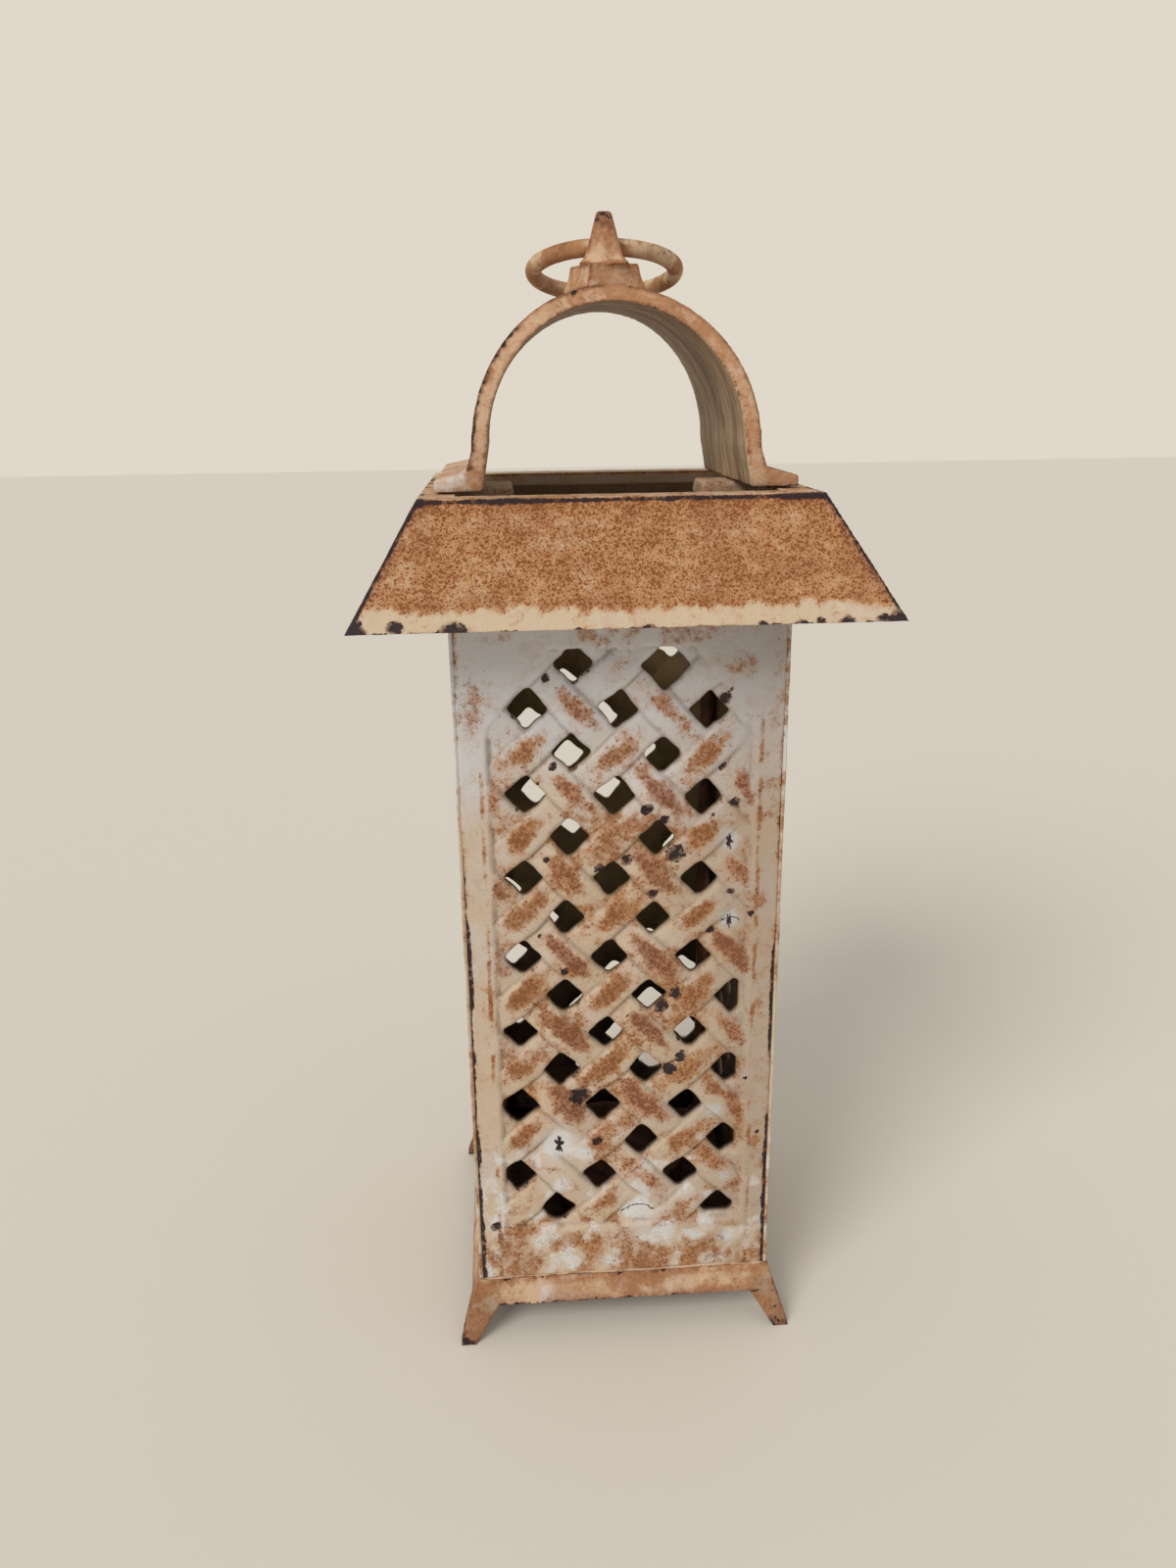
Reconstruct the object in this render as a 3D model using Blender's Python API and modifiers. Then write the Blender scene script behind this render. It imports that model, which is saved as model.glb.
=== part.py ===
"""Cast iron candle lantern: pierced square body, hipped roof, arched handle and hanging ring.

Metres, +Z up. The origin is on the table under the middle of the lantern, and the front is at -Y.
"""

import math

import bmesh
import bpy
from mathutils import Matrix, Vector

# Clearances
FIT_GAP = 0.0003          # between pieces that touch
SHANK_PLAY = 0.0003       # all round a shank in its hole
DOOR_PLAY = 0.0006        # over and under the door, so that it swings
PAST = 0.0010             # how far a cutter reaches past what it cuts
OVERLAP = 0.0005          # how deep two shapes of one casting run into each other

# Body panels
BODY_WIDTH = 0.0832
BODY_HEIGHT = 0.1940
PANEL_WALL = 0.0040
CORNER_NOSE = 0.0007      # blunt edge of a side panel beside the front panel's edge

# Woven lattice, in a sunk window that has cut-off top corners
WINDOW_MARGIN = 0.0082
WINDOW_SILL = 0.0155
WINDOW_HEAD = 0.0113
WINDOW_CORNER_WIDE = 0.0159
WINDOW_CORNER_HIGH = 0.0200
WEAVE_DEPTH = 0.0015
WEAVE_ARCH = 0.0016
CROWN_SINK = 0.0001        # strand crowns lie this far under the panel's face
STRAND_OVERLAP = 0.0002   # strands run this far under each hole's edge
HOLE_STEP_X = 0.01135
HOLE_STEP_Z = 0.01124
HOLE_SIDE = 0.0074
HOLE_EDGE = 0.0030        # a hole whose middle is nearer to the window's edge is left out
HOLE_RIM = 0.0005         # least metal between a hole and the window's edge
HOLE_SILL_RIM = 0.0015
CORNER_SHARE = 0.4        # how far a window corner moves with its inset
GRID_SHIFT_X = -0.0036
GRID_RISE = 0.0995        # lattice middle over the base
GRID_TURN = math.radians(-2.5)
FLASHED_HOLES = ((-1, -5), (1, -7))   # filled with casting flash on the front panel

# Base casting
BASE_HEIGHT = 0.0177
BASE_LEDGE = 0.0004
FOOT_SPREAD = 0.0953
BASE_WALL = 0.0036
FLOOR_WALL = 0.0035
SKIRT_HEIGHT = 0.0073
FOOT_TIP = 0.00475
FOOT_SHOULDER = 0.01165   # from the foot's outer edge to the top of its inner slope
CORNER_BLOCK = 0.0068
CORNER_BLOCK_HEIGHT = 0.0030
KEEPER_REACH_IN = 0.0180  # from the latch towards the middle of the door
KEEPER_REACH_OUT = 0.0060
KEEPER_HEIGHT = 0.0030
KEEPER_WALL = 0.0018

# Roof casting and the plate under it
EAVE_DROP = 0.0032        # the eave hangs this far below the plate
EAVE_WIDTH = 0.1265
ROOF_HEIGHT = 0.02756
RIM_WIDTH = 0.0940
ROOF_WALL = 0.0036
RIM_WALL = 0.0040
CHIMNEY_WIDTH = 0.0768
LUG_REACH = 0.0134
LUG_WIDTH = 0.0160
LUG_DRAFT = 0.0012
PLATE_WALL = 0.0030
PLATE_CORNER = 0.0150     # cut-off corner of the plate's opening
BOSS_RADIUS = 0.0040
BOSS_OUTSET = 0.0041      # from the body's side to a roof boss
HEADER_SINK = 0.0002

# Handle, a strap bent to an arch that narrows to its crown
HANDLE_SPAN = 0.0606
HANDLE_RISE = 0.0330
HANDLE_LEG = 0.0096
HANDLE_SPLAY = 0.0016
HANDLE_STRAP = 0.0041
HANDLE_FOOT_DEPTH = 0.0680
HANDLE_CROWN_DEPTH = 0.0370
TAB_REACH = 0.0076
TAB_WALL = 0.0036
TAB_SLOPE = 0.0008

# Finial
PLINTH_WIDTH = 0.0156
PLINTH_TOP_WIDTH = 0.0132
PLINTH_HEIGHT = 0.0055
PLINTH_TURN = math.radians(19.0)
FINIAL_RISE = 0.0122      # tapered tab over the plinth
FINIAL_WIDTH = 0.0102
FINIAL_TIP_WIDTH = 0.0036
FINIAL_FLARE = 0.0010     # at the tab's foot, dying out upwards
FLARE_POWER = 12
FINIAL_DEPTH_RATIO = 1.18
FINIAL_TIP_ROUND = 0.0005
FINIAL_SHANK_RADIUS = 0.0025
RING_TURN = math.radians(-5.0)

# Hanging ring
RING_WIDTH = 0.0420
RING_WIRE = 0.0044
RING_HOLE_RISE = 0.0041   # ring hole over the plinth
RING_PLAY = 0.0008
RING_TILT = math.radians(12.6)   # below level, as it lies at the back

# Candle cup
CUP_RADIUS = 0.0225
CUP_HEIGHT = 0.0140
CUP_WALL = 0.0018
CUP_FLARE = 0.0012

# Tie rods and screws
TIE_RADIUS = 0.0020
TIE_INSET = 0.0036        # from a panel's inner face to a rod's middle
TIE_HEAD_RADIUS = 0.0034
TIE_HEAD_HEIGHT = 0.0024
NUT_WIDTH = 0.0070
NUT_HEIGHT = 0.0032
CUP_NUT_WIDTH = 0.0056
CUP_NUT_HEIGHT = 0.0024
TIE_POINT = 0.0012        # thread end over its nut
SCREW_RADIUS = 0.0015
SCREW_HEAD_RADIUS = 0.0029
SCREW_HEAD_HEIGHT = 0.0017
HEAD_TAPER = 0.8          # outer end of a screw head, against its seat
ROOF_SCREW_GRIP = 0.0060
TAB_SCREW_GRIP = 0.0022
TAB_SCREW_INSET = 0.0024  # from a tab's end
TAB_SCREW_SPREAD = 0.0400

# Door hinges, at the back right corner
HINGE_OUT_X = 0.0006
HINGE_OUT_Y = 0.0030
KNUCKLE_RADIUS = 0.0026
KNUCKLE_HEIGHT = 0.0060
PIN_RADIUS = 0.0012
PIN_HEAD_HEIGHT = 0.0010
PIN_HEAD_RADIUS = 0.0022
PIN_END = 0.0005          # of a pin, under its lowest knuckle
HINGE_INSET_LOW = 0.0300
HINGE_INSET_HIGH = 0.0340
LEAF_REACH = 0.0060
LEAF_WALL = 0.0026
LEAF_SINK = 0.0002
LUG_LENGTH = 0.0080       # of a body knuckle's arm along the side panel
ARM_INSET = 0.0005        # of the arm from the barrel's side

# Door latch
KNOB_INSET = 0.0132       # from the door's free edge
KNOB_RISE = 0.0082        # over the door's lower edge
KNOB_RADIUS = 0.0046
KNOB_REACH = 0.0095
KNOB_NECK = 0.0019
KNOB_COLLAR = 0.0009
LATCH_SHAFT_RADIUS = 0.0016
TONGUE_LENGTH = 0.0070
TONGUE_WIDTH = 0.0044
TONGUE_WALL = 0.0018

# Facets
ROUND_STEPS = 20
SMALL_STEPS = 12
ARCH_STEPS = 20
TAPER_STEPS = 8
FINIAL_STEPS = 8
RING_STEPS = 32
RING_SIDES = 8

# Levels and half widths that follow from the sizes above
BODY_HALF = BODY_WIDTH / 2
INNER_HALF = BODY_HALF - PANEL_WALL
PANEL_FOOT = BASE_HEIGHT + FIT_GAP
PANEL_TOP = PANEL_FOOT + BODY_HEIGHT
PLATE_FOOT = PANEL_TOP + FIT_GAP
PLATE_TOP = PLATE_FOOT + PLATE_WALL
EAVE_Z = PLATE_FOOT - EAVE_DROP
RIM_Z = EAVE_Z + ROOF_HEIGHT
EAVE_HALF = EAVE_WIDTH / 2
RIM_HALF = RIM_WIDTH / 2
CHIMNEY_HALF = CHIMNEY_WIDTH / 2
ROOF_RUN = (EAVE_HALF - RIM_HALF) / ROOF_HEIGHT
ROOF_WALL_LEVEL = ROOF_WALL * math.hypot(1.0, ROOF_RUN)
TIE_HALF = INNER_HALF - TIE_INSET
FOOT_HALF = FOOT_SPREAD / 2
BASE_TOP_HALF = BODY_HALF + BASE_LEDGE
DOOR_FOOT = BASE_HEIGHT + DOOR_PLAY
DOOR_TOP = EAVE_Z - DOOR_PLAY
FLAT_EDGE = -(CORNER_NOSE + FIT_GAP)
NOSED_EDGE = CORNER_NOSE - (math.sqrt(2.0) - 1.0) * FIT_GAP
HANDLE_FOOT = RIM_Z + FIT_GAP
SPRING_Z = RIM_Z + HANDLE_LEG
SPAN_HALF = HANDLE_SPAN / 2
CROWN_UNDER = SPRING_Z + HANDLE_RISE
CROWN_Z = CROWN_UNDER + HANDLE_STRAP
LEG_IN = SPAN_HALF + HANDLE_SPLAY
LEG_OUT = LEG_IN + HANDLE_STRAP
TAB_END = LEG_OUT + TAB_REACH
TAB_SCREW_X = TAB_END - TAB_SCREW_INSET
PLINTH_TOP = CROWN_Z + FIT_GAP + PLINTH_HEIGHT
FINIAL_TOP = PLINTH_TOP + FINIAL_RISE
RING_PIVOT = Vector((0.0, 0.0, PLINTH_TOP + RING_HOLE_RISE))
RING_MAJOR = (RING_WIDTH - RING_WIRE) / 2
HINGE_X = BODY_HALF + HINGE_OUT_X
HINGE_Y = BODY_HALF + HINGE_OUT_Y
HINGE_LEVELS = (DOOR_FOOT + HINGE_INSET_LOW, DOOR_TOP - HINGE_INSET_HIGH)
DOOR_EDGE = BODY_HALF + FLAT_EDGE
BOSS_HALF = BODY_HALF + BOSS_OUTSET
LATCH_X = -(DOOR_EDGE - KNOB_INSET)
LATCH_Z = DOOR_FOOT + KNOB_RISE
WINDOW_HALF = BODY_HALF - WINDOW_MARGIN
WINDOW_FOOT = PANEL_FOOT + WINDOW_SILL
WINDOW_TOP = PANEL_TOP - WINDOW_HEAD
QUARTERS = ((1, 1), (-1, 1), (-1, -1), (1, -1))
CORNER_NAMES = ("back_right", "back_left", "front_left", "front_right")


def clear_scene():
    for old in list(bpy.data.objects):
        bpy.data.objects.remove(old, do_unlink=True)


def new_collection(name):
    made = bpy.data.collections.new(name)
    bpy.context.scene.collection.children.link(made)
    return made


def new_material(name, colour, roughness, metallic):
    made = bpy.data.materials.new(name)
    made.use_nodes = True
    shader = made.node_tree.nodes["Principled BSDF"]
    shader.inputs["Base Color"].default_value = (*colour, 1.0)
    shader.inputs["Roughness"].default_value = roughness
    shader.inputs["Metallic"].default_value = metallic
    made.diffuse_color = (*colour, 1.0)
    return made


clear_scene()
PARTS = new_collection("cast_iron_candle_lantern")
CUTTERS = new_collection("cutters")
PAINT = (0.72, 0.55, 0.42)
RUSTY_PAINT = (0.55, 0.28, 0.13)
DARK_IRON = (0.12, 0.09, 0.07)


def mesh_object(name, bm):
    """Turn a bmesh into an object, which is a cutter until it is named a part."""
    mesh = bpy.data.meshes.new(name)
    bm.to_mesh(mesh)
    bm.free()
    made = bpy.data.objects.new(name, mesh)
    CUTTERS.objects.link(made)
    made.hide_render = True
    made.display_type = "WIRE"
    return made


def as_part(made, name, colour, roughness=0.7, metallic=0.1):
    """Name an object as a sub-part, give it its own material and move it to the parts."""
    made.name = name
    made.data.name = name
    made.data.materials.clear()
    made.data.materials.append(new_material(name, colour, roughness, metallic))
    made.hide_render = False
    made.display_type = "TEXTURED"
    PARTS.objects.link(made)
    CUTTERS.objects.unlink(made)
    return made


def round_shading(made, degrees=35.0):
    made.data.shade_smooth()
    made.data.set_sharp_from_angle(angle=math.radians(degrees))


def box(name, low, high):
    bm = bmesh.new()
    bmesh.ops.create_cube(bm, size=1.0)
    low, high = Vector(low), Vector(high)
    size = high - low
    bmesh.ops.scale(bm, vec=size, verts=bm.verts)
    bmesh.ops.translate(bm, vec=(low + high) / 2, verts=bm.verts)
    return mesh_object(name, bm)


def add_cylinder(bm, radius, start, end, steps=SMALL_STEPS):
    """Add a closed cylinder between two points."""
    start, end = Vector(start), Vector(end)
    length = (end - start).length
    turn = Vector((0, 0, 1)).rotation_difference(end - start).to_matrix().to_4x4()
    place = Matrix.Translation((start + end) / 2) @ turn
    bmesh.ops.create_cone(bm, cap_ends=True, segments=steps, radius1=radius, radius2=radius,
                          depth=length, matrix=place)


def cylinder(name, radius, start, end, steps=SMALL_STEPS):
    bm = bmesh.new()
    add_cylinder(bm, radius, start, end, steps)
    return mesh_object(name, bm)


def make_nut(name, width, bore, foot, height):
    """A hexagon nut, as wide across its flats as given, with its foot at a point."""
    foot = Vector(foot)
    up, past = Vector((0, 0, height)), Vector((0, 0, PAST))
    nut = cylinder(name, width / math.sqrt(3), foot, foot + up, 6)
    cut(nut, cylinder(f"{name}_bore", bore, foot - past, foot + up + past))
    return nut


def frustum(name, half_low, half_high, z_low, z_high):
    """A four-sided cone with its flats along X and Y."""
    bm = bmesh.new()
    place = Matrix.Translation((0, 0, (z_low + z_high) / 2)) @ Matrix.Rotation(math.pi / 4, 4, "Z")
    bmesh.ops.create_cone(bm, cap_ends=True, segments=4, radius1=half_low * math.sqrt(2),
                          radius2=half_high * math.sqrt(2), depth=z_high - z_low, matrix=place)
    return mesh_object(name, bm)


def to_mesh(made, name):
    """Replace a curve or a modified object by its plain, welded mesh."""
    bpy.context.view_layer.update()
    graph = bpy.context.evaluated_depsgraph_get()
    mesh = bpy.data.meshes.new_from_object(made.evaluated_get(graph))
    bm = bmesh.new()
    bm.from_mesh(mesh)
    bmesh.ops.remove_doubles(bm, verts=bm.verts, dist=1e-6)
    place = made.matrix_world.copy()
    bpy.data.objects.remove(made, do_unlink=True)
    fresh = mesh_object(name, bm)
    fresh.data.transform(place)
    return fresh


def outline(name, loops, low, high, axis="Z"):
    """Extrude flat closed outlines from low to high along an axis.

    The outline's two coordinates are XY for axis Z, XZ for axis Y and YZ for axis X.
    """
    curve = bpy.data.curves.new(name, "CURVE")
    curve.dimensions = "2D"
    curve.fill_mode = "BOTH"
    curve.extrude = (high - low) / 2
    for points in loops:
        spline = curve.splines.new("POLY")
        spline.points.add(len(points) - 1)
        for point, (u, v) in zip(spline.points, points):
            point.co = (u, v, 0.0, 1.0)
        spline.use_cyclic_u = True
    made = bpy.data.objects.new(name, curve)
    CUTTERS.objects.link(made)
    middle = (low + high) / 2
    if axis == "Y":
        made.matrix_world = Matrix(((1, 0, 0, 0), (0, 0, -1, middle), (0, 1, 0, 0), (0, 0, 0, 1)))
    elif axis == "X":
        made.matrix_world = Matrix(((0, 0, 1, middle), (1, 0, 0, 0), (0, 1, 0, 0), (0, 0, 0, 1)))
    else:
        made.location.z = middle
    return to_mesh(made, name)


def turned(name, profile, steps, start_turn=0.0):
    """Turn a profile of (radius, height) points, given from top to bottom, round Z."""
    bm = bmesh.new()
    turn = Matrix.Rotation(start_turn, 3, "Z")
    verts = [bm.verts.new(turn @ Vector((radius, 0, height))) for radius, height in profile]
    for upper, lower in zip(verts, verts[1:]):
        bm.edges.new((upper, lower))
    made = mesh_object(name, bm)
    screw = made.modifiers.new("turn", "SCREW")
    screw.axis = "Z"
    screw.steps = steps
    screw.render_steps = steps
    screw.use_merge_vertices = True
    screw.merge_threshold = 0.00001
    made = to_mesh(made, name)
    round_shading(made)
    return made


def boolean(made, tool, operation):
    step = made.modifiers.new(tool.name, "BOOLEAN")
    step.operation = operation
    step.object = tool
    step.solver = "EXACT"


def cut(made, *tools):
    for tool in tools:
        boolean(made, tool, "DIFFERENCE")


def join(made, *tools):
    for tool in tools:
        boolean(made, tool, "UNION")


def pivot(name, place, turn=0.0):
    made = bpy.data.objects.new(name, None)
    PARTS.objects.link(made)
    made.empty_display_size = 0.01
    made.location = place
    made.rotation_euler.z = turn
    bpy.context.view_layer.update()
    return made


def hang_on(made, parent):
    """Parent a piece that was built in place, so that it stays where it is."""
    made.parent = parent
    made.matrix_parent_inverse = parent.matrix_world.inverted()


# Base casting

def base_half(z):
    """Outer half width of the flared base at a level."""
    return FOOT_HALF + (BASE_TOP_HALF - FOOT_HALF) * z / BASE_HEIGHT


def make_base():
    base = frustum("base_casting", FOOT_HALF, BASE_TOP_HALF, 0.0, BASE_HEIGHT)
    floor_under = BASE_HEIGHT - FLOOR_WALL
    below = -PAST
    hollow = frustum("base_hollow", base_half(below) - BASE_WALL, base_half(floor_under) - BASE_WALL,
                     below, floor_under)
    skirt_edge = BASE_HEIGHT - SKIRT_HEIGHT
    tip = FOOT_HALF - FOOT_TIP
    shoulder = FOOT_HALF - FOOT_SHOULDER
    lean = (tip - shoulder) / skirt_edge
    wide = tip - lean * below
    gate = [(-wide, below), (wide, below), (shoulder, skirt_edge), (-shoulder, skirt_edge)]
    reach = FOOT_HALF + PAST
    cut(base, hollow)
    cut(base, outline("base_gate_y", [gate], -reach, reach, "Y"))
    cut(base, outline("base_gate_x", [gate], -reach, reach, "X"))
    block_outer = INNER_HALF - FIT_GAP
    block_inner = block_outer - CORNER_BLOCK
    for number, (sx, sy) in enumerate(QUARTERS):
        corners = sorted((sx * block_inner, sx * block_outer)), sorted((sy * block_inner, sy * block_outer))
        block = box(f"base_block_{number}", (corners[0][0], corners[1][0], BASE_HEIGHT - OVERLAP),
                    (corners[0][1], corners[1][1], BASE_HEIGHT + CORNER_BLOCK_HEIGHT))
        join(base, block)
    keeper = box("base_keeper", (LATCH_X - KEEPER_REACH_OUT, block_outer - KEEPER_WALL,
                                 BASE_HEIGHT - OVERLAP),
                 (LATCH_X + KEEPER_REACH_IN, block_outer, BASE_HEIGHT + KEEPER_HEIGHT))
    join(base, keeper)
    holes = bmesh.new()
    above = BASE_HEIGHT + CORNER_BLOCK_HEIGHT + PAST
    for sx, sy in QUARTERS:
        add_cylinder(holes, TIE_RADIUS + SHANK_PLAY, (sx * TIE_HALF, sy * TIE_HALF, 0.0),
                     (sx * TIE_HALF, sy * TIE_HALF, above))
    add_cylinder(holes, SCREW_RADIUS + SHANK_PLAY, (0, 0, 0.0), (0, 0, above))
    cut(base, mesh_object("base_holes", holes))
    return as_part(base, "base_casting", PAINT)


# Candle cup, held by a screw from above and a nut under the floor

def make_cup():
    foot = BASE_HEIGHT + FIT_GAP
    rim = CUP_RADIUS + CUP_FLARE
    top = foot + CUP_HEIGHT
    profile = [
        (rim - CUP_WALL, top),
        (rim, top),
        (CUP_RADIUS, foot + CUP_WALL * 2),
        (CUP_RADIUS - CUP_WALL, foot),
        (SCREW_RADIUS + SHANK_PLAY, foot),
        (SCREW_RADIUS + SHANK_PLAY, foot + CUP_WALL),
        (CUP_RADIUS - CUP_WALL * 2, foot + CUP_WALL),
        (CUP_RADIUS - CUP_WALL, foot + CUP_WALL * 2),
        (rim - CUP_WALL, top),
    ]
    cup = turned("candle_cup", profile, ROUND_STEPS)
    as_part(cup, "candle_cup", DARK_IRON)

    head_foot = foot + CUP_WALL + FIT_GAP
    nut_top = BASE_HEIGHT - FLOOR_WALL - FIT_GAP
    nut_foot = nut_top - CUP_NUT_HEIGHT
    end = nut_foot - TIE_POINT
    profile = [
        (0, head_foot + SCREW_HEAD_HEIGHT),
        (SCREW_HEAD_RADIUS * HEAD_TAPER, head_foot + SCREW_HEAD_HEIGHT),
        (SCREW_HEAD_RADIUS, head_foot),
        (SCREW_RADIUS, head_foot),
        (SCREW_RADIUS, end),
        (0, end),
    ]
    screw = turned("cup_screw", profile, SMALL_STEPS)
    as_part(screw, "cup_screw", DARK_IRON, 0.5, 0.6)

    nut = make_nut("cup_nut", CUP_NUT_WIDTH, SCREW_RADIUS + SHANK_PLAY, (0, 0, nut_foot), CUP_NUT_HEIGHT)
    as_part(nut, "cup_nut", DARK_IRON, 0.5, 0.6)


# Woven lattice panels

def window_points(inset, sill_inset):
    """Outline of the sunk window in X and Z, drawn in by an inset."""
    half = WINDOW_HALF - inset
    corner = inset * CORNER_SHARE
    return [
        (-half, WINDOW_FOOT + sill_inset),
        (half, WINDOW_FOOT + sill_inset),
        (half, WINDOW_TOP - WINDOW_CORNER_HIGH - corner),
        (WINDOW_HALF - WINDOW_CORNER_WIDE - corner, WINDOW_TOP - inset),
        (corner + WINDOW_CORNER_WIDE - WINDOW_HALF, WINDOW_TOP - inset),
        (-half, WINDOW_TOP - WINDOW_CORNER_HIGH - corner),
    ]


def grid_point(column, row):
    """Place of a lattice grid point in X and Z."""
    x, z = column * HOLE_STEP_X, row * HOLE_STEP_Z
    c, s = math.cos(GRID_TURN), math.sin(GRID_TURN)
    return GRID_SHIFT_X + c * x - s * z, BASE_HEIGHT + GRID_RISE + s * x + c * z


def inside_window(x, z, margin):
    """Whether a point lies in the window by at least a margin; a negative margin widens it."""
    corner_line = (WINDOW_HALF - abs(x)) / WINDOW_CORNER_WIDE + (WINDOW_TOP - z) / WINDOW_CORNER_HIGH
    corner_reach = margin * math.hypot(1 / WINDOW_CORNER_WIDE, 1 / WINDOW_CORNER_HIGH)
    return (abs(x) < WINDOW_HALF - margin and WINDOW_FOOT + margin < z < WINDOW_TOP - margin
            and corner_line - 1.0 > corner_reach)


def grid_cells(odd, margin):
    """Grid points inside the window: holes where column + row is even, crossings where odd."""
    columns = int(BODY_HALF / HOLE_STEP_X) + 2
    rows = int(BODY_HEIGHT / HOLE_STEP_Z) + 2
    for row in range(-rows, rows + 1):
        for column in range(-columns, columns + 1):
            if (column + row) % 2 == odd and inside_window(*grid_point(column, row), margin):
                yield column, row


def strand_frame(column, row, rising):
    """Matrix from a strand piece's own axes (along, across, outwards) to the panel."""
    x, z = grid_point(column, row)
    slope = math.atan2(HOLE_STEP_Z, HOLE_STEP_X) * (1 if rising else -1) + GRID_TURN
    along = Vector((math.cos(slope), 0, math.sin(slope)))
    outwards = Vector((0, -1, 0))
    across = outwards.cross(along)
    turn = Matrix((along, across, outwards)).transposed().to_4x4()
    return Matrix.Translation((x, -BODY_HALF + CROWN_SINK, z)) @ turn


def add_strand(bm, place):
    """Add one bar of a strand, high where it crosses over and low where it dips under."""
    pitch = math.hypot(HOLE_STEP_X, HOLE_STEP_Z)
    width = pitch - HOLE_SIDE + STRAND_OVERLAP
    length = 2 * (pitch - width / 2) + 2 * OVERLAP
    floor = -(WEAVE_DEPTH + OVERLAP)
    made = bmesh.ops.create_cube(bm, size=1.0)["verts"]
    bmesh.ops.scale(bm, vec=(length, width, -floor), verts=made)
    bmesh.ops.translate(bm, vec=(0, 0, floor / 2), verts=made)
    for share in (-1 / 6, 1 / 6):
        faces = list({face for vert in made for face in vert.link_faces})
        edges = list({edge for vert in made for edge in vert.link_edges})
        done = bmesh.ops.bisect_plane(bm, geom=list(made) + edges + faces,
                                      plane_co=(share * length, 0, 0), plane_no=(1, 0, 0))
        made = made + [item for item in done["geom_cut"] if isinstance(item, bmesh.types.BMVert)]
    for vert in made:
        if vert.co.z > floor / 2:
            vert.co.z -= WEAVE_ARCH * (1 - math.cos(math.pi * vert.co.x / pitch)) / 2
    bmesh.ops.transform(bm, matrix=place, verts=made)


def add_hole(bm, column, row):
    """Add a diamond prism through the panel."""
    made = bmesh.ops.create_cube(bm, size=1.0)["verts"]
    bmesh.ops.scale(bm, vec=(HOLE_SIDE, HOLE_SIDE, PANEL_WALL * 4), verts=made)
    bmesh.ops.transform(bm, matrix=strand_frame(column, row, True), verts=made)


def lattice_plate(name, left_out):
    """A whole panel before its ends are mitred: plate, sunk window, woven strands and holes."""
    outer, inner = -BODY_HALF, -INNER_HALF
    plate = box(f"{name}_plate", (-BODY_HALF, outer, PANEL_FOOT), (BODY_HALF, inner, PANEL_TOP))
    recess = outline(f"{name}_recess", [window_points(0, 0)], outer - PAST, outer + WEAVE_DEPTH, "Y")
    cut(plate, recess)
    frame = outline(f"{name}_window", [window_points(-CROWN_SINK, -CROWN_SINK)], outer - PAST,
                    inner - OVERLAP, "Y")
    for family, rising in (("rising", True), ("falling", False)):
        strands = bmesh.new()
        for column, row in grid_cells(1, -HOLE_STEP_X):
            if (row % 2 == 1) == rising:
                add_strand(strands, strand_frame(column, row, rising))
        weave = mesh_object(f"{name}_{family}", strands)
        boolean(weave, frame, "INTERSECT")
        join(plate, weave)
    prisms = bmesh.new()
    for column, row in grid_cells(0, HOLE_EDGE):
        if (column, row) not in left_out:
            add_hole(prisms, column, row)
    holes = mesh_object(f"{name}_holes", prisms)
    opening = outline(f"{name}_opening", [window_points(HOLE_RIM, HOLE_SILL_RIM)], outer - PAST,
                      inner + PAST, "Y")
    boolean(holes, opening, "INTERSECT")
    cut(plate, holes)
    return to_mesh(plate, f"{name}_lattice")


def edge_wedge(name, offset, side):
    """Wedge that cuts a panel's end to a mitre, where |x| = |y| + offset."""
    out, into = BODY_HALF + PAST, INNER_HALF - PAST
    far = out + PANEL_WALL + abs(offset)
    points = [(out + offset, -out), (far, -out), (far, -into), (into + offset, -into)]
    points = [(side * x, y) for x, y in points]
    return outline(name, [points], PANEL_FOOT - PAST, PANEL_TOP + PAST)


def make_panel(name, plate_mesh, turn, offset):
    """A panel from the lattice plate, turned round Z to its side of the body."""
    panel = bpy.data.objects.new(name, plate_mesh.copy())
    CUTTERS.objects.link(panel)
    panel.rotation_euler.z = turn
    for side in (-1, 1):
        wedge = edge_wedge(f"{name}_wedge_{side}", offset, side)
        wedge.rotation_euler.z = turn
        cut(panel, wedge)
    return panel


def knuckle(label, foot, top):
    """The barrel of a hinge knuckle, and the cutter of its bore."""
    barrel = cylinder(f"{label}_barrel", KNUCKLE_RADIUS, (HINGE_X, HINGE_Y, foot), (HINGE_X, HINGE_Y, top))
    bore = cylinder(f"{label}_bore", PIN_RADIUS + SHANK_PLAY, (HINGE_X, HINGE_Y, foot - PAST),
                    (HINGE_X, HINGE_Y, top + PAST))
    return barrel, bore


def knuckle_levels(middle):
    """Foot and top of the three knuckles of a hinge, from the lowest."""
    pitch = KNUCKLE_HEIGHT + FIT_GAP
    return [(middle + (i - 1.5) * pitch + FIT_GAP / 2, middle + (i - 0.5) * pitch - FIT_GAP / 2)
            for i in range(3)]


def make_fixed_panels(open_plate, front_plate):
    front = make_panel("panel_front", front_plate, 0.0, FLAT_EDGE)
    as_part(front, "panel_front", PAINT)
    left = make_panel("panel_left", open_plate, -math.pi / 2, NOSED_EDGE)
    as_part(left, "panel_left", PAINT)
    right = make_panel("panel_right", open_plate, math.pi / 2, NOSED_EDGE)
    for number, middle in enumerate(HINGE_LEVELS):
        levels = knuckle_levels(middle)
        for place in (0, 2):
            foot, top = levels[place]
            label = f"hinge_{number}_{place}"
            arm = box(f"{label}_arm", (BODY_HALF - LEAF_SINK, BODY_HALF - LUG_LENGTH, foot),
                      (HINGE_X + KNUCKLE_RADIUS - ARM_INSET, HINGE_Y, top))
            barrel, bore = knuckle(label, foot, top)
            join(right, arm, barrel)
            cut(right, bore)
    as_part(right, "panel_right", PAINT)


# Door in the back, on two pinned hinges, with a turning latch

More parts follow.
